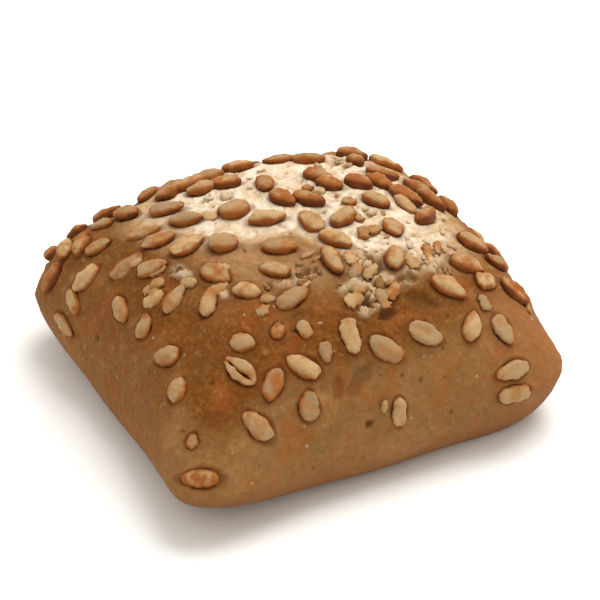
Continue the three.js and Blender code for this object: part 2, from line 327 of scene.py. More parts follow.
# %% Kernels and pieces that the frame leaves out
# On the crown, by how far out they lie: 0 at the crown, 1 at the edge. turn is where the tip
# points: 0 up the dome, 90 anticlockwise round it. Sizes are in mm.
# (around, out, turn, length, width, thickness, lean, shape, toast)
SMALL_KERNELS = (
    (89, 0.33, 20, 7.0, 5.0, 2.8, 0, "plump", 0.70), (45, 0.37, 281, 8.2, 4.8, 3.0, 0, "whole", 0.95),
    (33, 0.33, 262, 7.5, 4.6, 2.8, 0, "whole", 0.80), (90, 0.62, 285, 8.5, 4.8, 2.8, 0, "whole", 0.70),
    (70, 0.62, 277, 9.5, 5.0, 3.0, 0, "half", 0.80), (57, 0.58, 265, 8.0, 4.8, 2.8, 0, "whole", 0.50),
    (108, 0.47, 310, 8.0, 4.8, 3.0, 0, "creased", 0.95), (116, 0.63, 311, 9.5, 5.0, 3.0, 0, "whole", 0.70),
    (105, 0.63, 300, 8.0, 4.6, 2.6, 0, "slim", 0.30), (119, 0.54, 310, 7.6, 4.8, 2.6, 0, "plump", 0.40),
    (233, 0.455, 102, 7.0, 4.5, 2.4, 0, "stub", 0.60), (353, 0.415, 239, 8.0, 5.0, 2.8, 0, "whole", 0.60),
    (348, 0.55, 250, 9.0, 3.6, 2.4, 20, "slim", 0.35), (322, 0.475, 240, 7.5, 5.2, 3.0, 0, "half", 0.55),
    (338, 0.62, 300, 7.6, 4.8, 3.4, 30, "plump", 0.85), (18, 0.43, 250, 7.6, 4.8, 3.0, 0, "whole", 0.95),
    (13, 0.52, 262, 8.2, 5.0, 3.0, 0, "whole", 0.95), (20, 0.60, 235, 8.6, 5.0, 3.0, 0, "creased", 0.90),
    (42, 0.72, 250, 8.4, 5.0, 3.2, 0, "whole", 1.0), (37, 0.64, 300, 5.0, 4.0, 2.6, 0, "plump", 0.9),
    (31, 0.78, 255, 9.0, 4.8, 2.8, 0, "whole", 0.35), (13, 0.79, 250, 8.6, 4.8, 2.8, 0, "whole", 0.85),
    (6, 0.70, 232, 8.8, 4.8, 2.8, 0, "slim", 0.80), (357, 0.705, 236, 9.0, 4.8, 3.0, 0, "whole", 1.0),
    (358, 0.80, 260, 8.0, 4.6, 2.8, 0, "slim", 0.90), (316, 0.86, 140, 6.0, 5.0, 3.0, 0, "star", 0.60),
    (331, 0.895, 153, 8.5, 4.6, 2.6, 0, "slim", 0.90), (338, 0.90, 200, 7.4, 4.4, 2.6, 0, "whole", 0.75),
    (133, 0.985, 250, 8.0, 4.6, 3.0, 0, "whole", 0.90), (135, 0.87, 30, 7.8, 4.6, 2.8, 0, "half", 0.35),
    (147, 0.86, 10, 7.6, 4.6, 2.8, 0, "half", 0.35), (121, 0.79, 280, 8.0, 4.6, 2.8, 0, "whole", 0.85),
    (117, 0.72, 300, 7.6, 4.6, 2.8, 0, "creased", 0.90), (124, 0.68, 310, 7.4, 4.6, 2.8, 0, "whole", 0.75),
    (153, 0.69, 5, 8.6, 3.4, 2.2, 0, "slim", 0.20), (298, 0.57, 60, 7.2, 5.2, 3.0, 0, "plump", 0.50),
)
# Chips, slivers and broken ends in the same terms, less a lean: they lie flat.
BROKEN_PIECES = (
    (184, 0.735, 30, 4.0, 3.0, 1.8, "chip", 0.05), (184, 0.77, 70, 4.2, 2.6, 1.6, "star", 0.10),
    (285, 0.69, 60, 6.0, 3.2, 1.6, "chip", 0.75), (268, 0.97, 20, 3.2, 2.2, 1.4, "chip", 0.15),
    (50, 0.26, 0, 3.2, 2.6, 1.4, "chip", 0.60), (0, 0.29, 40, 4.0, 3.0, 1.4, "chip", 0.45),
    (279, 0.70, 10, 5.6, 3.0, 1.6, "star", 0.10), (268, 0.66, 80, 5.0, 3.6, 1.8, "star", 0.05),
    (272, 0.62, 120, 3.4, 2.4, 1.4, "chip", 0.05), (233, 0.67, 60, 5.0, 2.8, 1.2, "star", 0.30),
    (233, 0.62, 80, 4.0, 2.4, 1.4, "chip", 0.35), (283, 0.56, 70, 6.0, 2.6, 1.6, "star", 0.10),
    (276, 0.53, 60, 5.0, 2.8, 1.8, "chip", 0.10), (280, 0.44, 20, 4.4, 2.8, 1.6, "star", 0.15),
    (308, 0.36, 50, 4.6, 3.0, 1.6, "chip", 0.30), (316, 0.40, 120, 4.0, 2.6, 1.6, "star", 0.25),
    (313, 0.66, 60, 5.6, 2.4, 1.2, "star", 0.30), (318, 0.68, 75, 4.6, 2.0, 1.2, "chip", 0.45),
    (303, 0.63, 30, 5.0, 3.4, 1.2, "star", 0.20), (203, 0.53, 60, 4.6, 3.2, 1.6, "star", 0.15),
    (210, 0.62, 20, 5.0, 3.6, 1.4, "star", 0.15), (196, 0.66, 80, 4.0, 2.8, 1.4, "chip", 0.10),
    (178, 0.70, 30, 4.6, 3.0, 1.4, "star", 0.05), (165, 0.76, 60, 5.0, 3.4, 1.6, "star", 0.10),
    (150, 0.40, 20, 4.0, 3.0, 1.4, "star", 0.15), (255, 0.34, 70, 4.6, 1.6, 1.2, "chip", 0.25),
    (262, 0.37, 60, 4.2, 1.4, 1.2, "chip", 0.30), (246, 0.56, 55, 6.4, 1.4, 1.2, "slim", 0.30),
    (330, 0.30, 40, 3.6, 2.6, 1.4, "chip", 0.50), (70, 0.12, 30, 3.4, 2.4, 1.2, "chip", 0.35),
    (309, 0.885, 40, 4.4, 3.0, 1.6, "star", 0.10), (321, 0.955, 60, 5.2, 2.0, 1.2, "chip", 0.55),
)
print(len(SMALL_KERNELS), "small kernels and", len(BROKEN_PIECES), "broken pieces placed by hand")

# %% Place a piece on the crust
CROWN_SINK = 0.30             # share of a kernel's thickness that is below the crust
FACE_SINK = 0.42              # the same on the faces, where the kernels were pressed in more
CHIP_SINK = 0.26              # the same for chips and broken ends
SMALL_STEP = 1e-3             # for slopes of the dome


def crust_axes(around, rise):
    """A point of the dome with the directions up the slope, sideways and outwards there."""
    point = dome_point(around, rise)
    up = dome_point(around, rise + SMALL_STEP) - dome_point(around, rise - SMALL_STEP)
    side = dome_point(around + SMALL_STEP, rise) - dome_point(around - SMALL_STEP, rise)
    up = up / np.linalg.norm(up)
    out = np.cross(side, up)
    out = out / np.linalg.norm(out)
    return point, up, np.cross(up, out), out


def lay_kernel(around, rise, turn, size, lean, sink=CROWN_SINK):
    """Middle and three axes of a kernel laid on the dome, with all angles in degrees."""
    point, up, side, out = crust_axes(math.radians(around), rise)
    turn, lean = math.radians(turn), math.radians(lean)
    along = up * math.cos(turn) + side * math.sin(turn)
    across = np.cross(out, along)
    half = math.hypot(size[2] / 2 * math.cos(lean), size[1] / 2 * math.sin(lean))
    middle = point + out * half * (1 - 2 * sink)
    return (middle, along, across * math.cos(lean) + out * math.sin(lean),
            out * math.cos(lean) - across * math.sin(lean), size)


class Kernels:
    """A list of laid kernels, with the look of each."""

    def __init__(self, name):
        self.name = name
        self.places = []
        self.shapes = []
        self.toasts = []

    def add(self, place, shape, toast):
        self.places.append(place)
        self.shapes.append(SHAPES.index(shape))
        self.toasts.append(toast)


# %% Gather the frame's kernels and the listed ones
kernels_on_faces = Kernels("kernels_on_faces")
kernels_on_crown = Kernels("kernels_on_crown")
for number, kernel_name in enumerate(frame_kernels, start=1):
    on_face = number <= FACE_COUNT
    group = kernels_on_faces if on_face else kernels_on_crown
    toast = TOAST_OF.get(number, FACE_TOAST if on_face else CROWN_TOAST)
    swelling = FACE_SWELLING if on_face else CROWN_SWELLING
    middle, along, across, outward, size = read_kernel(kernel_name)
    # painted shade: kernels facing -X are browned more, on the side away from the light
    toast = min(1.0, toast + LEFT_SHADE_TOAST * max(0.0, -outward[0]))
    middle = middle + outward * size[2] * (swelling - 1) / 2
    size = (size[0], size[1] * FULLNESS, size[2] * swelling)
    group.add((middle, along, across, outward, size), SHAPE_OF.get(number, "whole"), toast)

small_kernels = Kernels("small_kernels")
for around, out, turn, length, width, thickness, lean, shape, toast in SMALL_KERNELS:
    size = (length * MM, width * MM, thickness * CROWN_SWELLING * MM)
    small_kernels.add(lay_kernel(around, rise_from_out(out), turn, size, lean), shape, toast)

broken_pieces = Kernels("broken_pieces")
for around, out, turn, length, width, thickness, shape, toast in BROKEN_PIECES:
    size = (length * MM, width * MM, thickness * MM)
    broken_pieces.add(lay_kernel(around, rise_from_out(out), turn, size, 0, CHIP_SINK), shape, toast)
for group in (kernels_on_faces, kernels_on_crown, small_kernels, broken_pieces):
    print(group.name, len(group.places))

# %% [markdown]
# ## The crust as a mesh
# The crust carries the pockets, lips, tears and pimples that a smooth solid lacks, so it needs
# fine, even faces. Rings round the crown would crowd into a pole at the top. A square grid
# laid over the square dome has no pole, and its faces stay nearly square: the larger of the
# grid's two coordinates gives the way from crown to edge, and their ratio the way round.

# %% Lay the grid over the dome
GRID = 260                    # faces along each side of the grid
UNDER_RINGS = 14              # rings from the widest line to the edge of the base
BASE_RINGS = (0.985, 0.94, 0.84, 0.66, 0.42, 0.16)    # the flat base, as shares of its outline


def rise_by_arc(share):
    """The rise at a share of the way from crown to edge, measured along the crust."""
    rises = np.sin(np.linspace(0, math.pi / 2, 4000))
    profile = dome_point(np.zeros_like(rises), rises)
    steps = np.linalg.norm(np.diff(profile, axis=0), axis=1)
    walked = np.concatenate([[0], np.cumsum(steps)])
    from_crown = 1 - walked / walked[-1]
    return np.interp(share, from_crown[::-1], rises[::-1])


line = np.linspace(-1, 1, GRID + 1)
grid_x, grid_y = np.meshgrid(line, line, indexing="ij")
way_out = np.maximum(np.abs(grid_x), np.abs(grid_y)).ravel()
dome_around = np.arctan2(grid_y, grid_x).ravel()
dome_rise = rise_by_arc(way_out)
dome_points = dome_point(dome_around, dome_rise)

corner_index = np.arange((GRID + 1) ** 2).reshape(GRID + 1, GRID + 1)
dome_faces = np.stack([corner_index[:-1, :-1], corner_index[1:, :-1],
                       corner_index[1:, 1:], corner_index[:-1, 1:]], -1).reshape(-1, 4)
rim = np.concatenate([corner_index[-1, :-1], corner_index[:0:-1, -1],
                      corner_index[0, :0:-1], corner_index[:-1, 0]])
rim_around = dome_around[rim]
print(len(dome_points), "points on the dome,", len(rim), "round its edge")

# %% Close it underneath
ring_points = [under_point(rim_around, k / UNDER_RINGS) for k in range(1, UNDER_RINGS + 1)]
base_edge = ring_points[-1]
ring_points += [middle_of_roll + (base_edge - middle_of_roll) * share for share in BASE_RINGS]
under_points = np.concatenate(ring_points + [middle_of_roll[None]])
count = len(rim)
loops = [rim] + [len(dome_points) + k * count + np.arange(count) for k in range(len(ring_points))]
under_faces = []
for upper, lower in zip(loops[:-1], loops[1:]):
    under_faces.append(np.stack([upper, lower, np.roll(lower, -1), np.roll(upper, -1)], -1))
under_faces = np.concatenate(under_faces)
centre = len(dome_points) + len(under_points) - 1
fan = [(int(a), centre, int(b)) for a, b in zip(loops[-1], np.roll(loops[-1], -1))]
crust_points = np.concatenate([dome_points, under_points])
faces = [tuple(f) for f in dome_faces.tolist()] + [tuple(f) for f in under_faces.tolist()] + fan
crust_mesh = bpy.data.meshes.new("crust")
crust_mesh.from_pydata(crust_points.tolist(), [], faces)
crust_mesh.validate()
crust_mesh.update()
crust_normals = np.zeros(len(crust_points) * 3)
crust_mesh.vertex_normals.foreach_get("vector", crust_normals)
crust_normals = crust_normals.reshape(-1, 3)
if crust_normals[(GRID + 1) ** 2 // 2, 2] < 0:
    raise RuntimeError("the crust's faces point inwards")
print(len(faces), "faces in the crust")

# %% [markdown]
# ## Kernels on the far side
# A sower throws handfuls. Here points are drawn at random from the crust, and one is kept when
# it is far enough from every kernel already there. The spacing is tight on the crown and wide
# on the faces, and the lowest part of the faces stays nearly bare, as on the near side. A
# Distribute Points node keeps its own points apart, but not from kernels laid earlier.

# %% Sow the far side
SOWING_SEED = 11
SOWING_TRIES = 9000
CROWN_SPACING, FACE_SPACING = 7.2 * MM, 12.5 * MM
FACE_TOP, FACE_FOOT = 0.62, 0.05      # rises between which the crust counts as a face
FAR_SIDE = -0.02              # how far the crust must face away from the camera
FOOT_KEPT = 0.15              # share of the drawn points kept at the foot of a face
SPACING_LEAST, SPACING_SPREAD = 0.85, 0.30    # how unevenly the spacing is kept
SOWN_LENGTH, SOWN_LENGTH_SPREAD = 6.6 * MM, 2.8 * MM
SOWN_WIDTH, SOWN_WIDTH_SPREAD = 0.50, 0.12    # over the length
SOWN_THICKNESS = (0.42, 0.34)                 # over the length, on the crown and on a face
SOWN_TOAST, SOWN_TOAST_SPREAD = (0.40, 0.15), 0.6
SOWN_SHAPES = ("whole", "plump", "slim", "whole", "creased", "half", "whole", "stub", "star")
HIGHEST_RISE = 0.985          # above it the dome has no clear slope


def lay_on_point(spot, turn, size, lean, sink):
    """A kernel laid on a numbered point of the dome; turn is a share of a full turn."""
    rise = min(float(dome_rise[spot]), HIGHEST_RISE)
    return lay_kernel(math.degrees(dome_around[spot]), rise, 360 * turn, size, lean, sink)


sower = np.random.default_rng(SOWING_SEED)
facing = crust_normals[: len(dome_points)] @ np.array(towards_camera)
taken = [p[0] for g in (kernels_on_faces, kernels_on_crown, small_kernels) for p in g.places]
sown_kernels = Kernels("sown_kernels")
for spot in sower.integers(0, len(dome_points), SOWING_TRIES):
    rise = float(dome_rise[spot])
    keep, turn, size_draw, look = sower.random(4)
    if facing[spot] > FAR_SIDE or rise < FACE_FOOT:
        continue
    on_face = rise < FACE_TOP
    if on_face and keep > FOOT_KEPT + (1 - FOOT_KEPT) * (rise / FACE_TOP):
        continue
    spacing = FACE_SPACING if on_face else CROWN_SPACING
    spacing *= SPACING_LEAST + SPACING_SPREAD * size_draw
    point = dome_points[spot]
    if min(np.linalg.norm(point - t) for t in taken) < spacing:
        continue
    taken.append(point)
    length = SOWN_LENGTH + SOWN_LENGTH_SPREAD * size_draw
    width = length * (SOWN_WIDTH + SOWN_WIDTH_SPREAD * look)
    size = (length, width, length * SOWN_THICKNESS[on_face])
    laid = lay_on_point(spot, turn, size, 0, FACE_SINK if on_face else CROWN_SINK)
    toast = np.clip(SOWN_TOAST[on_face] + SOWN_TOAST_SPREAD * look, 0, 1)
    sown_kernels.add(laid, SOWN_SHAPES[int(look * len(SOWN_SHAPES))], toast)
print(len(sown_kernels.places), "kernels sown on the far side")

# %% [markdown]
# ## Pressing the kernels in
# A kernel pressed into dough leaves a pocket under it and a low lip round it, and the crust
# is darker in the crease between the two, partly browned more and partly painted shade. For
# each kernel, the points near it are measured in the kernel's own lengths and widths: inside 1
# they are pushed down, just outside they are raised a little, and the crease is painted into
# the attribute "seat" for the crust's finish, which darkens it.
# Cutting the kernels out with a Boolean would leave sharp edges that dough never has.

# %% Pocket, lip and crease
POCKET_SHARE = 0.95           # pocket depth over the depth of the kernel's lower side
LIP_HEIGHT = 0.34 * MM
LIP_AT, LIP_WIDTH = 1.30, 0.26
CREASE_FROM, CREASE_WIDTH = 1.02, 0.42
TIP_TAPER, TIP_FROM = 0.38, -0.1      # how much narrower the outline gets towards the tip
BLUNT_TAPER, BLUNT_FROM = 0.15, -0.4  # and towards the blunt end
REACH = 9 * MM                        # no kernel marks the crust farther from its middle


def press(group, points, normals, push, seat):
    """Adds the group's pockets and lips to push, and its creases to seat."""
    for middle, along, across, outward, size in group.places:
        near = np.flatnonzero(np.linalg.norm(points - middle, axis=1) < REACH)
        if len(near) == 0:
            continue
        normal = normals[near].mean(0)
        normal /= np.linalg.norm(normal)
        side = np.cross(normal, along)
        side /= np.linalg.norm(side)
        half_side = math.hypot(across @ side * size[1] / 2, outward @ side * size[2] / 2)
        half_deep = math.hypot(across @ normal * size[1] / 2, outward @ normal * size[2] / 2)
        away = points[near] - middle
        u = away @ along / (size[0] / 2)
        taper = 1 - TIP_TAPER * np.clip(u - TIP_FROM, 0, 1) - BLUNT_TAPER * np.clip(BLUNT_FROM - u, 0, 1)
        v = away @ side / (half_side * taper)
        r = np.sqrt(u * u + v * v)
        surface = away @ normal
        floor_under = -half_deep * POCKET_SHARE * np.sqrt(np.clip(1 - r * r, 0, 1))
        down = np.where(r < 1, np.minimum(0, floor_under - surface), 0)
        lip = LIP_HEIGHT * np.exp(-((r - LIP_AT) / LIP_WIDTH) ** 2)
        push[near] = np.where(down < 0, np.minimum(push[near], down), push[near] + lip)
        crease = np.exp(-(np.maximum(r - CREASE_FROM, 0) / CREASE_WIDTH) ** 2)
        seat[near] = np.maximum(seat[near], crease)


push = np.zeros(len(crust_points))
seat = np.zeros(len(crust_points))
for group in (kernels_on_faces, kernels_on_crown, small_kernels, sown_kernels):
    press(group, crust_points, crust_normals, push, seat)
print("deepest pocket, mm", round(-push.min() / MM, 2), "highest lip, mm", round(push.max() / MM, 2))

# %% [markdown]
# ## Marks in the crust
# Some kernels fell out and left empty imprints, a few gas bubbles broke through, and on one
# flank near the crown the skin tore and shows ragged crumb. These are the marks that make the
# roll this roll. Sculpting them would work, but each can't then be moved or dropped on its
# own, so each is a soft-edged ellipse laid on the dome, pushed in or painted. Bubbles and
# imprints are pushed in and darkened inside with painted shade.

# %% Mark the crust
# (around, rise, turn, length mm, width mm, depth mm, hardness of the edge)
BUBBLES = (
    (277.5, 0.585, 90, 4.2, 3.0, 1.5, 5), (263.5, 0.145, 0, 1.9, 1.9, 0.9, 6),
    (272, 0.68, 40, 3.6, 2.6, 1.3, 4), (289, 0.78, 60, 4.6, 2.6, 1.4, 4),
    (222.5, 0.395, 0, 1.5, 1.2, 0.5, 4), (226.5, 0.405, 0, 1.2, 1.0, 0.4, 4),
    (275, 0.315, 0, 1.2, 1.0, 0.3, 4), (280, 0.27, 20, 1.6, 1.0, 0.4, 4),
    (289, 0.36, 0, 1.2, 1.0, 0.3, 4), (244, 0.60, 60, 2.0, 1.6, 0.8, 4),
    (95, 0.35, 10, 3.0, 2.2, 1.0, 4), (30, 0.50, 60, 4.0, 2.6, 1.4, 4),
    (170, 0.20, 0, 1.6, 1.4, 0.6, 4), (350, 0.25, 30, 1.8, 1.4, 0.6, 4),
)
IMPRINTS = (
    (262, 0.345, 45, 8.0, 4.0, 1.2, 6), (255.5, 0.335, 10, 5.4, 3.0, 0.9, 6),
    (292, 0.57, 150, 8.0, 4.0, 1.3, 6), (226, 0.27, 60, 6.4, 4.6, 0.8, 6),
    (247, 0.655, 60, 7.0, 3.4, 0.9, 6), (60, 0.40, 120, 8.0, 4.2, 1.1, 6),
    (120, 0.30, 30, 7.6, 4.0, 1.1, 6), (10, 0.35, 70, 8.0, 4.2, 1.1, 6),
)
STAINS = (
    (170, 0.36, 0, 7.0, 5.0, 0, 2), (227, 0.335, 20, 6.5, 5.0, 0, 2), (228, 0.62, 0, 6.0, 5.0, 0, 2),
    (256.5, 0.345, 0, 6.0, 4.0, 0, 2), (262, 0.30, 0, 5.0, 3.0, 0, 2), (318, 0.24, 60, 8.0, 4.0, 0, 2),
    (305, 0.52, 30, 7.0, 4.0, 0, 2), (244, 0.56, 30, 5.0, 4.0, 0, 2), (80, 0.30, 0, 7.0, 5.0, 0, 2),
)
TEARS = (
    (287, 0.755, 75, 23.0, 15.0, 0, 5), (276, 0.70, 60, 13.0, 10.0, 0, 5),
    (186, 0.71, 80, 10.0, 5.0, 0, 2), (246, 0.83, 70, 13.0, 7.0, 0, 2), (312, 0.64, 70, 14.0, 7.0, 0, 2),
    (262, 0.86, 60, 9.0, 6.0, 0, 2), (40, 0.72, 70, 15.0, 8.0, 0, 2), (215, 0.72, 70, 7.0, 4.0, 0, 2),
)
WOBBLE, FINE_WOBBLE = 0.22, 0.8       # how far a mark's edge strays from an ellipse
MARK_DEPTH = 4 * MM                   # a mark fades this far above and below the crust
# an imprint gets this share of a bubble's painted shade
IMPRINT_SHADE = 0.32                  # how much of a bubble's dark an imprint has


def ellipse_on_crust(mark):
    """1 in the middle of a mark, 0 outside it, for every point of the crust."""
    around, rise, turn, length, width, _, hardness = mark
    point, up, side, out = crust_axes(math.radians(around), rise)
    along = up * math.cos(math.radians(turn)) + side * math.sin(math.radians(turn))
    across = np.cross(out, along)
    away = crust_points - point
    u = away @ along / (length * MM / 2)
    v = away @ across / (width * MM / 2)
    w = away @ out / MARK_DEPTH
    turn_round = np.arctan2(v, u)
    fine_wobble = FINE_WOBBLE * np.sin(5 * turn_round + around)
    wobble = 1 + WOBBLE * (np.sin(2 * turn_round + 50 * rise) + fine_wobble)
    return np.exp(-np.clip((u * u + v * v) * wobble + w * w, 0, 50) ** (hardness / 2))


hollow = np.zeros(len(crust_points))
stain = np.zeros(len(crust_points))
torn = np.zeros(len(crust_points))
# each bubble and imprint is pushed in, and its inside is noted for painted shade
for mark in BUBBLES:
    share = ellipse_on_crust(mark)
    push -= share * mark[5] * MM
    hollow = np.maximum(hollow, share)
for mark in IMPRINTS:
    share = ellipse_on_crust(mark)
    push -= share * mark[5] * MM
    hollow = np.maximum(hollow, IMPRINT_SHADE * share)
for mark in STAINS:
    stain = np.maximum(stain, ellipse_on_crust(mark))
for mark in TEARS:
    torn = np.maximum(torn, ellipse_on_crust(mark))
torn *= 1 - seat
print("points in hollows", int((hollow > 0.5).sum()), "and in tears", int((torn > 0.5).sum()))

# %% [markdown]
# ## Where the flour stayed and where the crust browned
# Flour settles on the crown and is rubbed off one flank, and the crust is darkest on the
# shoulders, on one edge and on one side. Two corners that stick out get a pale bloom, partly
# flour and partly painted highlight of the softbox behind, and a red-brown edge painted for
# the same backlight. Such slow changes could be painted with a brush, but here a few numbers
# say at which rise and in which direction each begins, and the result is stored on the
# crust's points as attributes for the finish to read.

# %% Where the flour is
FLOUR_FROM, FLOUR_FULL = 0.41, 0.78   # rises at which the flour begins and is thickest
BARE_AROUND = math.radians(230)       # the flank from which most flour was rubbed off
BARE_SPREAD = math.radians(65)
BARE_WITHIN = (-0.10, 0.15)           # shares of the half width between which it sets in
BARE_RISE = 0.60                      # how much higher the flour begins there
FILM, FILM_FROM, FILM_OVER = 0.27, 0.64, 0.2    # a thin film is left everywhere on the crown
# two corners get a pale bloom, partly flour and partly painted highlight where the light behind grazes them
HIGHLIGHT_BLOOM_AROUND = (318, 42)              # corners that stick out and kept a thin bloom of flour
HIGHLIGHT_BLOOM, HIGHLIGHT_BLOOM_SPREAD = 0.12, math.radians(13)
HIGHLIGHT_BLOOM_TOP, HIGHLIGHT_BLOOM_FADE = 0.7, 2.0      # no bloom above this rise, and how fast it comes below
# and a red-brown edge painted on them as the colour that the backlight gives there
CORNER_BACKLIGHT_RED = 0.80                    # red-brown of the corners with a bloom

rise_all = np.zeros(len(crust_points))
rise_all[: len(dome_points)] = dome_rise
flat_all = crust_points[:, :2] - middle_of_roll[:2]
around_all = np.arctan2(flat_all[:, 1], flat_all[:, 0])
forward = flat_all @ (math.cos(BARE_AROUND), math.sin(BARE_AROUND)) / HALF_WIDTH
bare_flank = np.clip((forward - BARE_WITHIN[0]) / (BARE_WITHIN[1] - BARE_WITHIN[0]), 0, 1)
bare_flank *= np.exp(-turned_from(around_all, BARE_AROUND) ** 2 / BARE_SPREAD ** 2)
floury = np.clip((rise_all - FLOUR_FROM - BARE_RISE * bare_flank) / (FLOUR_FULL - FLOUR_FROM), 0, 1)
floury = np.maximum(floury, FILM * np.clip((rise_all - FILM_FROM) / FILM_OVER, 0, 1))
# the bloom adds painted highlight to the flour and painted backlight red to the stains
for at in HIGHLIGHT_BLOOM_AROUND:
    highlight_bloom = np.exp(-(turned_from(around_all, math.radians(at)) / HIGHLIGHT_BLOOM_SPREAD) ** 2)
    highlight_bloom = highlight_bloom * np.clip(HIGHLIGHT_BLOOM_FADE * (HIGHLIGHT_BLOOM_TOP - rise_all), 0, 1)
    floury = np.maximum(floury, HIGHLIGHT_BLOOM * highlight_bloom)
    stain = np.maximum(stain, CORNER_BACKLIGHT_RED * highlight_bloom)
print("points with half the flour or more:", int((floury > 0.5).sum()))

# %% Where the crust browned
BROWNED_FROM, BROWNED_OVER = 0.41, 0.16   # rise at which the faces turn deep brown, and how fast
EDGE_AROUND, EDGE_SPREAD = math.radians(223), math.radians(11)
EDGE_DROP = 0.22                      # how much lower the front edge turns brown
# the crust is made browner and darker on the side from 60 to 222 degrees round
BROWNER_SIDE, BROWNER_SIDE_FADE = (60, 222), 16    # degrees round between which the side was hotter
BROWNER_SIDE_SHARE = 0.72
BROWNER_SIDE_AT_FOOT, BROWNER_SIDE_GAIN = 0.55, 1.5     # share of it at the widest line, and its gain with the rise
UNDER_GAIN = 1.6                      # how soon a point that looks down counts as underneath

edge_drop = EDGE_DROP * np.exp(-(turned_from(around_all, EDGE_AROUND) / EDGE_SPREAD) ** 2)
browned = np.clip((rise_all - BROWNED_FROM + edge_drop) / BROWNED_OVER + 0.5, 0, 1)
degrees_round = np.degrees(around_all) % 360
browner_side = np.clip((BROWNER_SIDE[1] - degrees_round) / BROWNER_SIDE_FADE, 0, 1)
browner_side = browner_side * np.clip((degrees_round - BROWNER_SIDE[0]) / BROWNER_SIDE_FADE, 0, 1)
browner_side = browner_side * np.clip(BROWNER_SIDE_AT_FOOT + BROWNER_SIDE_GAIN * rise_all, 0, 1)
browned = np.maximum(browned, BROWNER_SIDE_SHARE * browner_side)
under_share = np.clip(-crust_normals[:, 2] * UNDER_GAIN, 0, 1)
print("points browned by half or more:", int((browned > 0.5).sum()))

# %% Paint what the finish needs to know
paint = {"push": push, "seat": seat, "hollow": np.clip(hollow, 0, 1), "stain": stain, "torn": torn,
         "floury": floury, "under": under_share, "browned": browned}
for name, values in paint.items():
    layer = crust_mesh.attributes.new(name, "FLOAT", "POINT")
    layer.data.foreach_set("value", values.astype(np.float32))
print("painted", ", ".join(paint))

# %% [markdown]
# ## Flakes
# The mealy skin of the crown and the torn flank came up in hundreds of small flakes and crumbs.
# Each is a tiny shape of twenty faces laid flat on the crust, thickest where the crust is torn.
# They are drawn at random, and the tears are given several times the crown's share. Noise in
# the finish alone would look flat from the side, where loose flakes catch the light.

# %% Scatter the flakes
FLAKE_SEED = 5
FLAKE_TRIES = 5200
CROWN_CHANCE, TORN_CHANCE = 0.10, 0.55
FLAKE_FLOUR, FLAKE_FLOUR_MOST = 0.75, 0.75    # flakes hold less flour than the crust they came off
FLAKES_FROM = 0.5             # the lowest rise with flakes
FLAKE_SEAT, FLAKE_HOLLOW = 0.25, 0.3          # no flakes in a crease or a hollow deeper than this
FLAKE_HIGH = (-0.12, 0.50)    # how far out a flake counts as standing, which sets its tone
FLAKE_LENGTH, FLAKE_LENGTH_SPREAD = 0.8 * MM, 2.6 * MM
FLAKE_WIDTH, FLAKE_WIDTH_SPREAD = 0.35, 0.50          # over the length
FLAKE_THICKNESS, FLAKE_THICKNESS_SPREAD = 0.26, 0.24  # over the length
FLAKE_LEAN, FLAKE_SINK = 24, 0.3

flake_draw = np.random.default_rng(FLAKE_SEED)
flake_spots = flake_draw.integers(0, len(dome_points), FLAKE_TRIES)
chances = CROWN_CHANCE * floury[flake_spots] + TORN_CHANCE * np.clip(torn[flake_spots], 0, 1)
chances *= (seat[flake_spots] < FLAKE_SEAT) & (hollow[flake_spots] < FLAKE_HOLLOW)
chances *= rise_all[flake_spots] > FLAKES_FROM
flake_spots = flake_spots[flake_draw.random(FLAKE_TRIES) < chances]
flake_high = flake_draw.uniform(*FLAKE_HIGH, len(flake_spots))
crust_flakes = Kernels("crust_flakes")
for spot in flake_spots:
    draw = flake_draw.random(5)
    length = FLAKE_LENGTH + FLAKE_LENGTH_SPREAD * draw[0] ** 2
    width = length * (FLAKE_WIDTH + FLAKE_WIDTH_SPREAD * draw[1])
    size = (length, width, length * (FLAKE_THICKNESS + FLAKE_THICKNESS_SPREAD * draw[2]))
    laid = lay_on_point(spot, draw[3], size, FLAKE_LEAN * (draw[4] - 0.5), FLAKE_SINK)
    crust_flakes.add(laid, "flake", 0.0)
print(len(flake_spots), "flakes")

# %% [markdown]
# ## Relief of the crust
# Dough never bakes smooth. Slow lumps, small pimples and the ragged crumb of a tear are all
# noise of different sizes, so a short geometry node tree moves each point along its normal.
# It reads the painted attributes, so tears get rough and the seats of the kernels stay calm,
# and it notes in "high" how far each point stands out, in mm, because flour lies on what
# stands out and the hollows between are painted darker, as painted shade. A stack of Displace
# modifiers could add the same noises, but it would note nothing for the finish. The result is
# turned into a plain mesh, because later steps read plain meshes only.


# %% Helpers for node trees
def tree_with_inputs(name, inputs):
    """A geometry node tree with named inputs: (name, socket type, value or None)."""
    tree = bpy.data.node_groups.new(name, "GeometryNodeTree")
    tree.interface.new_socket(name="Geometry", in_out="INPUT", socket_type="NodeSocketGeometry")
    for label, kind, value in inputs:
        socket = tree.interface.new_socket(name=label, in_out="INPUT", socket_type=kind)
        if value is not None:
            socket.default_value = value
    tree.interface.new_socket(name="Geometry", in_out="OUTPUT", socket_type="NodeSocketGeometry")
    return tree


def node(tree, kind, values=None, **settings):
    """A new node, its settings, and values or links for its inputs by name or number."""
    made = tree.nodes.new(kind)
    for key, value in settings.items():
        setattr(made, key, value)
    for key, value in (values or {}).items():
        if isinstance(value, bpy.types.NodeSocket):
            tree.links.new(value, made.inputs[key])
        else:
            made.inputs[key].default_value = value
    return made


def attribute(tree, name, kind="FLOAT"):
    """The named attribute of the geometry."""
    return node(tree, "GeometryNodeInputNamedAttribute", {"Name": name}, data_type=kind).outputs["Attribute"]


def maths(tree, operation, *values):
    """A Math node's result."""
    return node(tree, "ShaderNodeMath", dict(enumerate(values)), operation=operation).outputs[0]


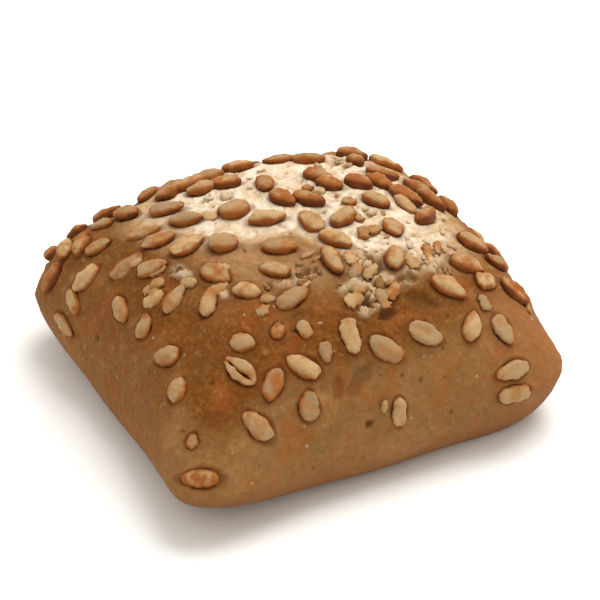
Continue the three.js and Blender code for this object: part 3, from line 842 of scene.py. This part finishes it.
def noise_at(tree, size, detail, roughness=0.5):
    """Noise from -0.5 to 0.5 with lumps of the given size in metres."""
    values = {"Scale": maths(tree, "DIVIDE", 1.0, size), "Detail": detail, "Roughness": roughness}
    made = node(tree, "ShaderNodeTexNoise", values)
    return maths(tree, "SUBTRACT", made.outputs["Fac"], 0.5)


def bumps(tree, size, height, detail, roughness=0.5):
    """The same noise times a height: how far it moves the crust in or out."""
    return maths(tree, "MULTIPLY", noise_at(tree, size, detail, roughness), height)


def bake_modifier(obj, tree, values):
    """Runs the tree on the object and returns the result as a plain mesh."""
    modifier = obj.modifiers.new(tree.name, "NODES")
    modifier.node_group = tree
    for item in tree.interface.items_tree:
        if item.item_type == "SOCKET" and item.in_out == "INPUT" and item.name in values:
            modifier[item.identifier] = values[item.name]
    graph = bpy.context.evaluated_depsgraph_get()
    graph.update()
    mesh = bpy.data.meshes.new_from_object(obj.evaluated_get(graph), depsgraph=graph)
    obj.modifiers.remove(modifier)
    return mesh


# %% The relief tree
RIDGE_MEAN = 0.10             # the mean of folded noise, taken off so that ridges add no height
FLAKY_SHARE, FLAKY_LEAST = 0.8, 0.07    # how scaly the crust is where it is floury, and elsewhere
relief = tree_with_inputs("crust_relief", (
    ("Lump Size", "NodeSocketFloat", 0.012), ("Lump Height", "NodeSocketFloat", 0.0018),
    ("Pimple Size", "NodeSocketFloat", 0.0024), ("Pimple Height", "NodeSocketFloat", 0.0009),
    ("Crumb Size", "NodeSocketFloat", 0.0046), ("Crumb Height", "NodeSocketFloat", 0.0085),
    ("Flake Size", "NodeSocketFloat", 0.0036), ("Flake Height", "NodeSocketFloat", 0.0052),
    ("Shred Size", "NodeSocketFloat", 0.0019), ("Shred Height", "NodeSocketFloat", 0.0034),
    ("Material", "NodeSocketMaterial", None),
))
start = node(relief, "NodeGroupInput")
given = start.outputs
calm = maths(relief, "SUBTRACT", 1.0, attribute(relief, "seat"))
not_under = maths(relief, "SUBTRACT", 1.0, attribute(relief, "under"))
lumps = bumps(relief, given["Lump Size"], given["Lump Height"], 2.0)
lumps = maths(relief, "MULTIPLY", lumps, not_under)
pimples = bumps(relief, given["Pimple Size"], given["Pimple Height"], 3.0)
crumb = bumps(relief, given["Crumb Size"], given["Crumb Height"], 4.0, 0.72)
shreds = bumps(relief, given["Shred Size"], given["Shred Height"], 3.0, 0.6)
crumb = maths(relief, "MULTIPLY", maths(relief, "ADD", crumb, shreds), attribute(relief, "torn"))
ridged = maths(relief, "ABSOLUTE", noise_at(relief, given["Flake Size"], 4.0, 0.65))
flakes = maths(relief, "MULTIPLY", maths(relief, "SUBTRACT", ridged, RIDGE_MEAN), given["Flake Height"])
scaly = maths(relief, "MULTIPLY", attribute(relief, "floury"), FLAKY_SHARE)
scaly = maths(relief, "ADD", scaly, FLAKY_LEAST)
flakes = maths(relief, "MULTIPLY", flakes, scaly)
rough = maths(relief, "ADD", maths(relief, "ADD", pimples, crumb), flakes)
rough = maths(relief, "MULTIPLY", rough, calm)
rough = maths(relief, "MULTIPLY", rough, not_under)
height = maths(relief, "ADD", maths(relief, "ADD", lumps, rough), attribute(relief, "push"))
normal = node(relief, "GeometryNodeInputNormal").outputs["Normal"]
offset = node(relief, "ShaderNodeVectorMath", {0: normal, "Scale": height}, operation="SCALE")
high = maths(relief, "DIVIDE", rough, MM)
noted = node(relief, "GeometryNodeStoreNamedAttribute",
             {"Geometry": given["Geometry"], "Name": "high", "Value": high},
             data_type="FLOAT", domain="POINT")
moved = node(relief, "GeometryNodeSetPosition", {"Geometry": noted.outputs[0], "Offset": offset.outputs[0]})
smooth = node(relief, "GeometryNodeSetShadeSmooth", {"Geometry": moved.outputs[0]})
whole = node(relief, "GeometryNodeRealizeInstances", {"Geometry": smooth.outputs[0]})
coated = node(relief, "GeometryNodeSetMaterial",
              {"Geometry": whole.outputs[0], "Material": given["Material"]})
node(relief, "NodeGroupOutput", {"Geometry": coated.outputs[0]})
print("relief tree has", len(relief.nodes), "nodes")

# %% [markdown]
# ## Finish of the crust
# The faces baked to an orange brown, deeper on the shoulders, and mottled with redder and
# greyer patches. Bran shows as tiny dark and reddish specks. The crown kept its dusting of
# flour, so it is pale, and the crease round each kernel browned most. An image wrapped round
# the roll would stretch at the corners and blur up close, so every layer is a procedural
# pattern on the object's own coordinates, mixed by the attributes painted above.


# %% Helpers for materials
def new_finish(name, roughness, specular):
    """A node material and its shader, with the even values set on the shader itself."""
    finish = bpy.data.materials.new(name)
    finish.use_nodes = True
    shader = finish.node_tree.nodes["Principled BSDF"]
    shader.inputs["Roughness"].default_value = roughness
    shader.inputs["Specular IOR Level"].default_value = specular
    return finish, finish.node_tree, shader


def painted(tree, name):
    """A painted attribute, as a number."""
    return node(tree, "ShaderNodeAttribute", attribute_name=name).outputs["Fac"]


def pattern(tree, size, detail=2.0, roughness=0.5, distortion=0.0):
    """Noise from 0 to 1 with patches of the given size in metres."""
    where = node(tree, "ShaderNodeTexCoord").outputs["Object"]
    return node(tree, "ShaderNodeTexNoise", {
        "Vector": where, "Scale": 1 / size, "Detail": detail, "Roughness": roughness,
        "Distortion": distortion}).outputs["Fac"]


def between(tree, value, low, high):
    """0 below low, 1 above high, and a smooth step between."""
    return node(tree, "ShaderNodeMapRange", {"Value": value, "From Min": low, "From Max": high},
                interpolation_type="SMOOTHSTEP").outputs["Result"]


def blend(tree, share, under, over):
    """Lays the colour over on the colour under, by share."""
    mixer = node(tree, "ShaderNodeMix", data_type="RGBA", clamp_factor=True)
    for socket, value in ((mixer.inputs[0], share), (mixer.inputs[6], under), (mixer.inputs[7], over)):
        if isinstance(value, bpy.types.NodeSocket):
            tree.links.new(value, socket)
        else:
            socket.default_value = value
    return mixer.outputs[2]


def coat(tree, colour, over, share, amount):
    """Lays the colour over on a colour by share, and covers it by amount at the most."""
    return blend(tree, maths(tree, "MULTIPLY", share, amount), colour, over)


def specks(tree, spacing, radius, share):
    """Ragged specks: about "share" of the cells hold one."""
    where = node(tree, "ShaderNodeTexCoord").outputs["Object"]
    ragged = node(tree, "ShaderNodeTexNoise", {"Vector": where, "Scale": 2.2 / spacing, "Detail": 2.0})
    pull = node(tree, "ShaderNodeVectorMath", {0: ragged.outputs["Color"], "Scale": 0.45 * spacing},
                operation="SCALE")
    where = node(tree, "ShaderNodeVectorMath", {0: where, 1: pull.outputs[0]}, operation="ADD").outputs[0]
    cells = node(tree, "ShaderNodeTexVoronoi", {"Vector": where, "Scale": 1 / spacing})
    inside = between(tree, cells.outputs["Distance"], radius, radius * 0.5)
    lot = node(tree, "ShaderNodeSeparateColor", {"Color": cells.outputs["Color"]}).outputs["Red"]
    chosen = maths(tree, "LESS_THAN", lot, share)
    return maths(tree, "MULTIPLY", inside, chosen)


# %% Start the crust's finish
CRUST_BROWN = (0.258, 0.118, 0.035, 1)
DEEP_BROWN = (0.150, 0.046, 0.003, 1)
CRUST_RED = (0.285, 0.074, 0.009, 1)
CRUST_GREY = (0.210, 0.106, 0.035, 1)
CRUST_PALE = (0.470, 0.273, 0.112, 1)
CRUST_CREAM = (0.704, 0.546, 0.370, 1)
FLOUR = (0.792, 0.713, 0.590, 1)
# a dark brown for painted shade in creases and hollows, also used for the dark grain
CREASE_SHADE_BROWN = (0.132, 0.040, 0.007, 1)
STAIN_RED = (0.308, 0.062, 0.012, 1)
BRAN_DARK = (0.080, 0.036, 0.013, 1)
# the dark painted into bubble pits and imprints, as painted shade
PIT_SHADE = (0.105, 0.046, 0.015, 1)
BRAN_RED = (0.300, 0.060, 0.014, 1)
CRUMB_PALE = (0.563, 0.414, 0.255, 1)
# the torn crumb's colour in its low points, as painted shade
CRUMB_SHADE = (0.255, 0.141, 0.062, 1)
BASE_BROWN = (0.202, 0.075, 0.023, 1)
SHEEN_TINT = (1.000, 0.800, 0.580, 1)

crust_finish, tree, shader = new_finish("baked_crust", 0.85, 0.10)
shader.inputs["Sheen Weight"].default_value = 0.05
shader.inputs["Sheen Roughness"].default_value = 0.45
shader.inputs["Sheen Tint"].default_value = SHEEN_TINT
print("started the finish", crust_finish.name)

# %% Baked colours
# A pattern's first number is the size of its patches, and the last two of each "between" say
# how much of the pattern counts: the closer together they are, the crisper the patches.
browned_share = painted(tree, "browned")
red_patches = between(tree, pattern(tree, 0.0080, 4, 0.6), 0.48, 0.68)
grey_patches = between(tree, pattern(tree, 0.0062, 4, 0.6), 0.50, 0.64)
grey_patches = maths(tree, "MULTIPLY", grey_patches, between(tree, browned_share, 1.15, 0.0))
light_patches = between(tree, pattern(tree, 0.015, 4, 0.6), 0.48, 0.74)
light_patches = maths(tree, "MULTIPLY", light_patches, between(tree, browned_share, 1.6, 0.0))
pale_spots = between(tree, pattern(tree, 0.0030, 3, 0.6), 0.58, 0.72)
colour = blend(tree, browned_share, CRUST_BROWN, DEEP_BROWN)
colour = coat(tree, colour, CRUST_RED, red_patches, 0.55)
colour = coat(tree, colour, CRUST_GREY, grey_patches, 0.75)
colour = coat(tree, colour, CRUST_PALE, light_patches, 0.30)
colour = coat(tree, colour, CRUST_PALE, pale_spots, 0.24)
print("baked colours take", len(tree.nodes), "nodes")

# %% Flour and grain
# flour, with a little painted highlight on two corners mixed in
flour_and_highlight_share = painted(tree, "floury")
high = painted(tree, "high")
grain = between(tree, pattern(tree, 0.0010, 4, 0.68), 0.40, 0.72)
shade_grain = between(tree, pattern(tree, 0.0016, 4, 0.65), 0.58, 0.36)
dust = maths(tree, "ADD", pattern(tree, 0.0040, 5, 0.70), maths(tree, "MULTIPLY", high, 0.35))
dust = maths(tree, "MULTIPLY", between(tree, dust, 0.34, 0.62), between(tree, flour_and_highlight_share, 0.12, 1.0))
colour = blend(tree, between(tree, flour_and_highlight_share, 0.0, 0.60), colour, CRUST_PALE)
colour = blend(tree, between(tree, flour_and_highlight_share, 0.50, 1.0), colour, CRUST_CREAM)
colour = coat(tree, colour, CRUST_PALE, grain, 0.17)
colour = coat(tree, colour, CREASE_SHADE_BROWN, shade_grain, 0.20)
colour = coat(tree, colour, FLOUR, dust, 0.70)
colour = coat(tree, colour, FLOUR, specks(tree, 0.0030, 0.15, 0.16), 0.30)
print("with flour and grain it takes", len(tree.nodes), "nodes")

# %% Bran, torn crumb, creases, hollows and base
# real stains, with the red edge painted on the backlit corners
colour = coat(tree, colour, STAIN_RED, painted(tree, "stain"), 0.36)
colour = coat(tree, colour, BRAN_RED, specks(tree, 0.0036, 0.22, 0.42), 0.60)
colour = coat(tree, colour, BRAN_DARK, specks(tree, 0.0052, 0.15, 0.36), 0.65)
# painted shade: the torn crumb is darker in its low points
crumb_with_shade = blend(tree, between(tree, high, -0.55, 0.50), CRUMB_SHADE, CRUMB_PALE)
colour = coat(tree, colour, crumb_with_shade, between(tree, painted(tree, "torn"), 0.25, 0.80), 0.8)
# painted shade: the crust is darker where its relief lies low
colour = coat(tree, colour, CREASE_SHADE_BROWN, between(tree, high, -0.12, -0.90), 0.65)
# the crease round each kernel is darkened, partly as deeper browning and partly as painted shade
colour = coat(tree, colour, CREASE_SHADE_BROWN, between(tree, painted(tree, "seat"), 0.25, 1.0), 0.50)
# painted shade: bubble pits and imprints are darkened
colour = coat(tree, colour, PIT_SHADE, painted(tree, "hollow"), 0.78)
colour = coat(tree, colour, BASE_BROWN, painted(tree, "under"), 0.8)
tree.links.new(colour, shader.inputs["Base Color"])
print("with all its colours it takes", len(tree.nodes), "nodes")

# %% Fine bump of the crust
fine = maths(tree, "ADD", maths(tree, "MULTIPLY", pattern(tree, 0.0006, 3, 0.6), 0.35),
             pattern(tree, 0.0017, 4, 0.62))
bump = node(tree, "ShaderNodeBump", {"Height": fine, "Strength": 0.40, "Distance": 0.0008})
tree.links.new(bump.outputs["Normal"], shader.inputs["Normal"])
print("crust finish has", len(tree.nodes), "nodes")

# %% Bake the crust
crust_blank = bpy.data.objects.new("crust_blank", crust_mesh)
bpy.context.scene.collection.objects.link(crust_blank)
crust = bpy.data.objects.new("crust", bake_modifier(crust_blank, relief, {"Material": crust_finish}))
bpy.context.scene.collection.objects.link(crust)
bpy.data.objects.remove(crust_blank)
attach(crust, "root")
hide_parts("loaf")
print("crust has", len(crust.data.polygons), "faces")

# %% [markdown]
# ## Shapes of a kernel
# A hulled sunflower kernel is a flattened teardrop: blunt at one end, pointed at the other,
# with a soft edge all round. One function makes it from a few rings, and small changes give
# the plump, slim, creased, halved, stubbed and broken ones. Each shape has a few dozen faces
# and unit size, because it is repeated many times. A squashed sphere would be quicker, but
# its ends are alike and its outline is too even. Two values are painted on each shape for the
# finish: the way along it, and which side is up.

# %% Make the shapes
RINGS, SIDES = 7, 10
THICK_BLUNT, THICK_SHARP = 0.9, 0.8   # the ends are fuller from the side than from above
EDGE_FULLNESS = 0.8           # under 1 makes the edge fuller than an ellipse's
CREASE_HALF = 0.13            # half width of a crease, over the kernel's width


def teardrop(along, blunt, sharp):
    """A profile that is 0 at both ends and 1 at its widest."""
    peak = blunt / (blunt + sharp)
    top = peak ** blunt * (1 - peak) ** sharp
    return along ** blunt * (1 - along) ** sharp / top


def kernel_shape(seed=0, blunt=0.50, sharp=0.75, flat=1.0, crease=0.0, cut=1.0, bend=0.0,
                 rough=0.0, ragged=0.0, rings=RINGS, sides=SIDES, width=1.0, shift=0.0):
    """Points, faces and paint of one closed kernel body of unit length, width and thickness."""
    chance = np.random.default_rng(seed)
    points, paint_rows = [(-0.5, 0.0, 0.0)], [(0.0, 0.0)]
    for ring in range(1, rings + 1):
        along = 0.5 - 0.5 * math.cos(math.pi * ring / (rings + 1))
        wide = teardrop(along * cut, blunt, sharp)
        thick = teardrop(along * cut, blunt * THICK_BLUNT, sharp * THICK_SHARP)
        left, right = 1 + ragged * (-1) ** ring * chance.uniform(0.2, 1.0, 2) * np.array((1, -1))
        for k in range(sides):
            a = (k + 0.5) / sides * 2 * math.pi
            y = math.cos(a) * wide / 2 * (left if math.cos(a) > 0 else right)
            z = math.copysign(abs(math.sin(a)) ** EDGE_FULLNESS, math.sin(a)) * thick / 2
            if z > 0:
                z *= flat
                z -= crease * math.exp(-(y / CREASE_HALF) ** 2) * math.sin(math.pi * along)
            jitter = chance.normal(0, rough, 3)
            x = along - 0.5 + jitter[0]
            y = (y + jitter[1]) * width + bend * (along - 0.5) ** 2 + shift
            points.append((x, y, z + jitter[2]))
            paint_rows.append((along, math.sin(a)))
    points.append((0.5, shift + bend * 0.25, 0.0))
    paint_rows.append((1.0, 0.0))
    faces_made = []
    last = 1 + (rings - 1) * sides
    for k in range(sides):
        after = (k + 1) % sides
        faces_made.append((0, 1 + after, 1 + k))
        faces_made.append((last + sides, last + k, last + after))
        for ring in range(rings - 1):
            low, high = 1 + ring * sides, 1 + (ring + 1) * sides
            faces_made.append((low + k, low + after, high + after, high + k))
    return points, faces_made, paint_rows


def joined(*bodies):
    """Several closed bodies as one shape."""
    points, faces_made, paint_rows = [], [], []
    for body in bodies:
        start_at = len(points)
        points += body[0]
        faces_made += [tuple(start_at + i for i in f) for f in body[1]]
        paint_rows += body[2]
    return points, faces_made, paint_rows


shape_bodies = {
    "whole": kernel_shape(1, blunt=0.42, sharp=0.54, rough=0.016, ragged=0.03),
    "plump": kernel_shape(2, blunt=0.40, sharp=0.44, rough=0.020, ragged=0.04),
    "slim": kernel_shape(3, blunt=0.48, sharp=0.66, bend=0.30, rough=0.018, ragged=0.06),
    "creased": kernel_shape(4, blunt=0.42, sharp=0.50, crease=0.30, rough=0.018, ragged=0.04),
    "half": kernel_shape(5, blunt=0.42, sharp=0.58, flat=0.60, crease=0.12, rough=0.012),
    "stub": kernel_shape(6, blunt=0.36, sharp=0.50, cut=0.88, rough=0.020, ragged=0.12),
    "chip": kernel_shape(7, blunt=0.22, sharp=0.26, rough=0.035, ragged=0.30, rings=5, sides=8),
    "star": kernel_shape(12, blunt=0.20, sharp=0.26, flat=0.7, rough=0.030, ragged=0.36, rings=8, sides=8),
    "flake": kernel_shape(11, blunt=0.30, sharp=0.34, rough=0.03, ragged=0.20, rings=3, sides=5),
    "open": joined(kernel_shape(9, flat=0.8, width=0.46, shift=-0.27, bend=0.7, rough=0.02, ragged=0.15),
                   kernel_shape(10, flat=0.6, width=0.42, shift=0.22, bend=-0.8, rough=0.02, ragged=0.2)),
}
shape_box = bpy.data.collections.new("kernel_shapes")
for index, shape in enumerate(SHAPES):
    points, faces_made, paint_rows = shape_bodies[shape]
    mesh = bpy.data.meshes.new(f"shape_{index}_{shape}")
    mesh.from_pydata(points, [], faces_made)
    for column, name in enumerate(("along", "upside")):
        layer = mesh.attributes.new(name, "FLOAT", "POINT")
        layer.data.foreach_set("value", np.array(paint_rows, np.float32)[:, column].copy())
    shape_box.objects.link(bpy.data.objects.new(mesh.name, mesh))

# %% [markdown]
# ## Setting the kernels
# Each group of kernels is a cloud of points that carries the turn, size, shape number, toast
# and a random tone of each kernel. A node tree sets a shape on every point, makes the copies
# real, rounds the larger ones once and dents them with noise, so no two are alike. Copying
# objects in a loop would do the same, but slower, and each group has to be one piece anyway.

# %% The setting tree
setting = tree_with_inputs("set_kernels", (
    ("Shapes", "NodeSocketCollection", None), ("Rounding", "NodeSocketInt", 1),
    ("Dent Size", "NodeSocketFloat", 0.0034), ("Dent Height", "NodeSocketFloat", 0.0017),
    ("Ridge Size", "NodeSocketFloat", 0.0013), ("Ridge Height", "NodeSocketFloat", 0.0009),
    ("Material", "NodeSocketMaterial", None),
))
start = node(setting, "NodeGroupInput")
given = start.outputs
shapes = node(setting, "GeometryNodeCollectionInfo", {
    "Collection": given["Shapes"], "Separate Children": True, "Reset Children": True})
turned = node(setting, "FunctionNodeEulerToRotation",
              {"Euler": attribute(setting, "turned", "FLOAT_VECTOR")})
set_down = node(setting, "GeometryNodeInstanceOnPoints", {
    "Points": given["Geometry"], "Instance": shapes.outputs["Instances"], "Pick Instance": True,
    "Instance Index": attribute(setting, "shape", "INT"), "Rotation": turned.outputs["Rotation"],
    "Scale": attribute(setting, "size", "FLOAT_VECTOR")})
real = node(setting, "GeometryNodeRealizeInstances", {"Geometry": set_down.outputs["Instances"]})
rounded = node(setting, "GeometryNodeSubdivisionSurface",
               {"Mesh": real.outputs[0], "Level": given["Rounding"]})
dents = bumps(setting, given["Dent Size"], given["Dent Height"], 2.0)
ridges = bumps(setting, given["Ridge Size"], given["Ridge Height"], 2.0)
height = maths(setting, "ADD", dents, ridges)
normal = node(setting, "GeometryNodeInputNormal").outputs["Normal"]
offset = node(setting, "ShaderNodeVectorMath", {0: normal, "Scale": height}, operation="SCALE")
moved = node(setting, "GeometryNodeSetPosition",
             {"Geometry": rounded.outputs[0], "Offset": offset.outputs[0]})
smooth = node(setting, "GeometryNodeSetShadeSmooth", {"Geometry": moved.outputs[0]})
whole = node(setting, "GeometryNodeRealizeInstances", {"Geometry": smooth.outputs[0]})
coated = node(setting, "GeometryNodeSetMaterial",
              {"Geometry": whole.outputs[0], "Material": given["Material"]})
node(setting, "NodeGroupOutput", {"Geometry": coated.outputs[0]})
print("setting tree has", len(setting.nodes), "nodes")

# %% [markdown]
# ## Finish of the kernels
# Hulled kernels are a dull ivory, some of them greyer, and baking turned their edges, tips
# and sides orange brown. Their lower sides are darkened more, partly as that browning and
# partly as painted shade under them. Toast and tone come from each kernel's own attributes,
# so the colour changes from kernel to kernel with one material, where a few fixed ones would
# show as steps.

# %% The kernels' finish
KERNEL_IVORY = (0.510, 0.324, 0.150, 1)
KERNEL_GREY = (0.325, 0.202, 0.098, 1)
KERNEL_TAN = (0.378, 0.178, 0.050, 1)
TOASTED = (0.325, 0.098, 0.016, 1)
# on the lower sides of the most toasted kernels these browns also stand for painted shade
SCORCHED = (0.120, 0.030, 0.006, 1)

kernel_finish, tree, shader = new_finish("toasted_kernel", 0.60, 0.16)
toast, tone = painted(tree, "toast"), painted(tree, "tone")
upside, along = painted(tree, "upside"), painted(tree, "along")
cloud = pattern(tree, 0.0036, 3, 0.55)
colour = blend(tree, tone, KERNEL_IVORY, KERNEL_GREY)
colour = blend(tree, between(tree, cloud, 0.42, 0.72), colour, KERNEL_TAN)
# the lower side of each kernel browns, partly as toasting and partly as painted shade under it
low_side_shade_and_toast = between(tree, upside, 0.88, 0.05)
tipped = between(tree, along, 0.70, 1.0)
toast_and_shade = maths(tree, "ADD", low_side_shade_and_toast, maths(tree, "MULTIPLY", tipped, 0.45))
toast_and_shade = maths(tree, "ADD", toast_and_shade, maths(tree, "MULTIPLY", between(tree, cloud, 0.35, 0.70), 0.60))
toast_and_shade = maths(tree, "MULTIPLY", toast_and_shade, maths(tree, "ADD", toast, 0.28))
all_over = maths(tree, "MULTIPLY", maths(tree, "POWER", toast, 3.0), 0.34)
toast_and_shade = maths(tree, "ADD", toast_and_shade, all_over)
colour = blend(tree, between(tree, toast_and_shade, 0.12, 0.85), colour, TOASTED)
colour = coat(tree, colour, SCORCHED, between(tree, toast_and_shade, 0.80, 1.70), 0.85)
fibres = between(tree, pattern(tree, 0.0008, 3, 0.6), 0.50, 0.75)
colour = coat(tree, colour, TOASTED, fibres, 0.20)
tree.links.new(colour, shader.inputs["Base Color"])
bump = node(tree, "ShaderNodeBump", {"Height": pattern(tree, 0.0010, 4, 0.65), "Strength": 0.60,
                                     "Distance": 0.0006})
tree.links.new(bump.outputs["Normal"], shader.inputs["Normal"])
print("kernel finish has", len(tree.nodes), "nodes")


# %% Set every group
def point_cloud(group, seed, extra=None):
    """The group's points, with what the tree and the finish need to know about each."""
    middles = np.array([p[0] for p in group.places])
    turns, sizes = [], []
    for _, along, across, outward, size in group.places:
        axes = Matrix((along, across, outward)).transposed()
        turns.append(tuple(axes.to_euler()))
        sizes.append(size)
    mesh = bpy.data.meshes.new(group.name + "_points")
    mesh.from_pydata(middles.tolist(), [], [])
    tones = np.random.default_rng(seed).random(len(middles))
    for name, values in (("turned", turns), ("size", sizes)):
        layer = mesh.attributes.new(name, "FLOAT_VECTOR", "POINT")
        layer.data.foreach_set("vector", np.array(values, np.float32).ravel())
    for name, values in (("toast", group.toasts), ("tone", tones), *(extra or {}).items()):
        layer = mesh.attributes.new(name, "FLOAT", "POINT")
        layer.data.foreach_set("value", np.array(values, np.float32))
    layer = mesh.attributes.new("shape", "INT", "POINT")
    layer.data.foreach_set("value", np.array(group.shapes, np.int32))
    made = bpy.data.objects.new(group.name + "_points", mesh)
    bpy.context.scene.collection.objects.link(made)
    return made


def set_group(group, seed, rounding, finish=kernel_finish, extra=None):
    """Sets a group's shapes and returns the finished piece; extra holds more paint by name."""
    cloud_object = point_cloud(group, seed, extra)
    mesh = bake_modifier(cloud_object, setting,
                         {"Shapes": shape_box, "Rounding": rounding, "Material": finish})
    piece = bpy.data.objects.new(group.name, mesh)
    bpy.context.scene.collection.objects.link(piece)
    bpy.data.objects.remove(cloud_object)
    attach(piece, "root")
    print(group.name, "has", len(mesh.polygons), "faces")
    return piece


face_piece = set_group(kernels_on_faces, seed=21, rounding=1)
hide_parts(*frame_kernels[:FACE_COUNT])
crown_piece = set_group(kernels_on_crown, seed=22, rounding=1)
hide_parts(*frame_kernels[FACE_COUNT:])
set_group(small_kernels, seed=23, rounding=1)
set_group(broken_pieces, seed=24, rounding=0)
set_group(sown_kernels, seed=25, rounding=0)
flake_flour_and_highlight = np.minimum(floury[flake_spots], FLAKE_FLOUR_MOST) * FLAKE_FLOUR
set_group(crust_flakes, seed=26, rounding=0, finish=crust_finish,
          extra={"floury": flake_flour_and_highlight, "high": flake_high})
for shape_object in list(shape_box.objects):
    bpy.data.objects.remove(shape_object)
bpy.data.collections.remove(shape_box)
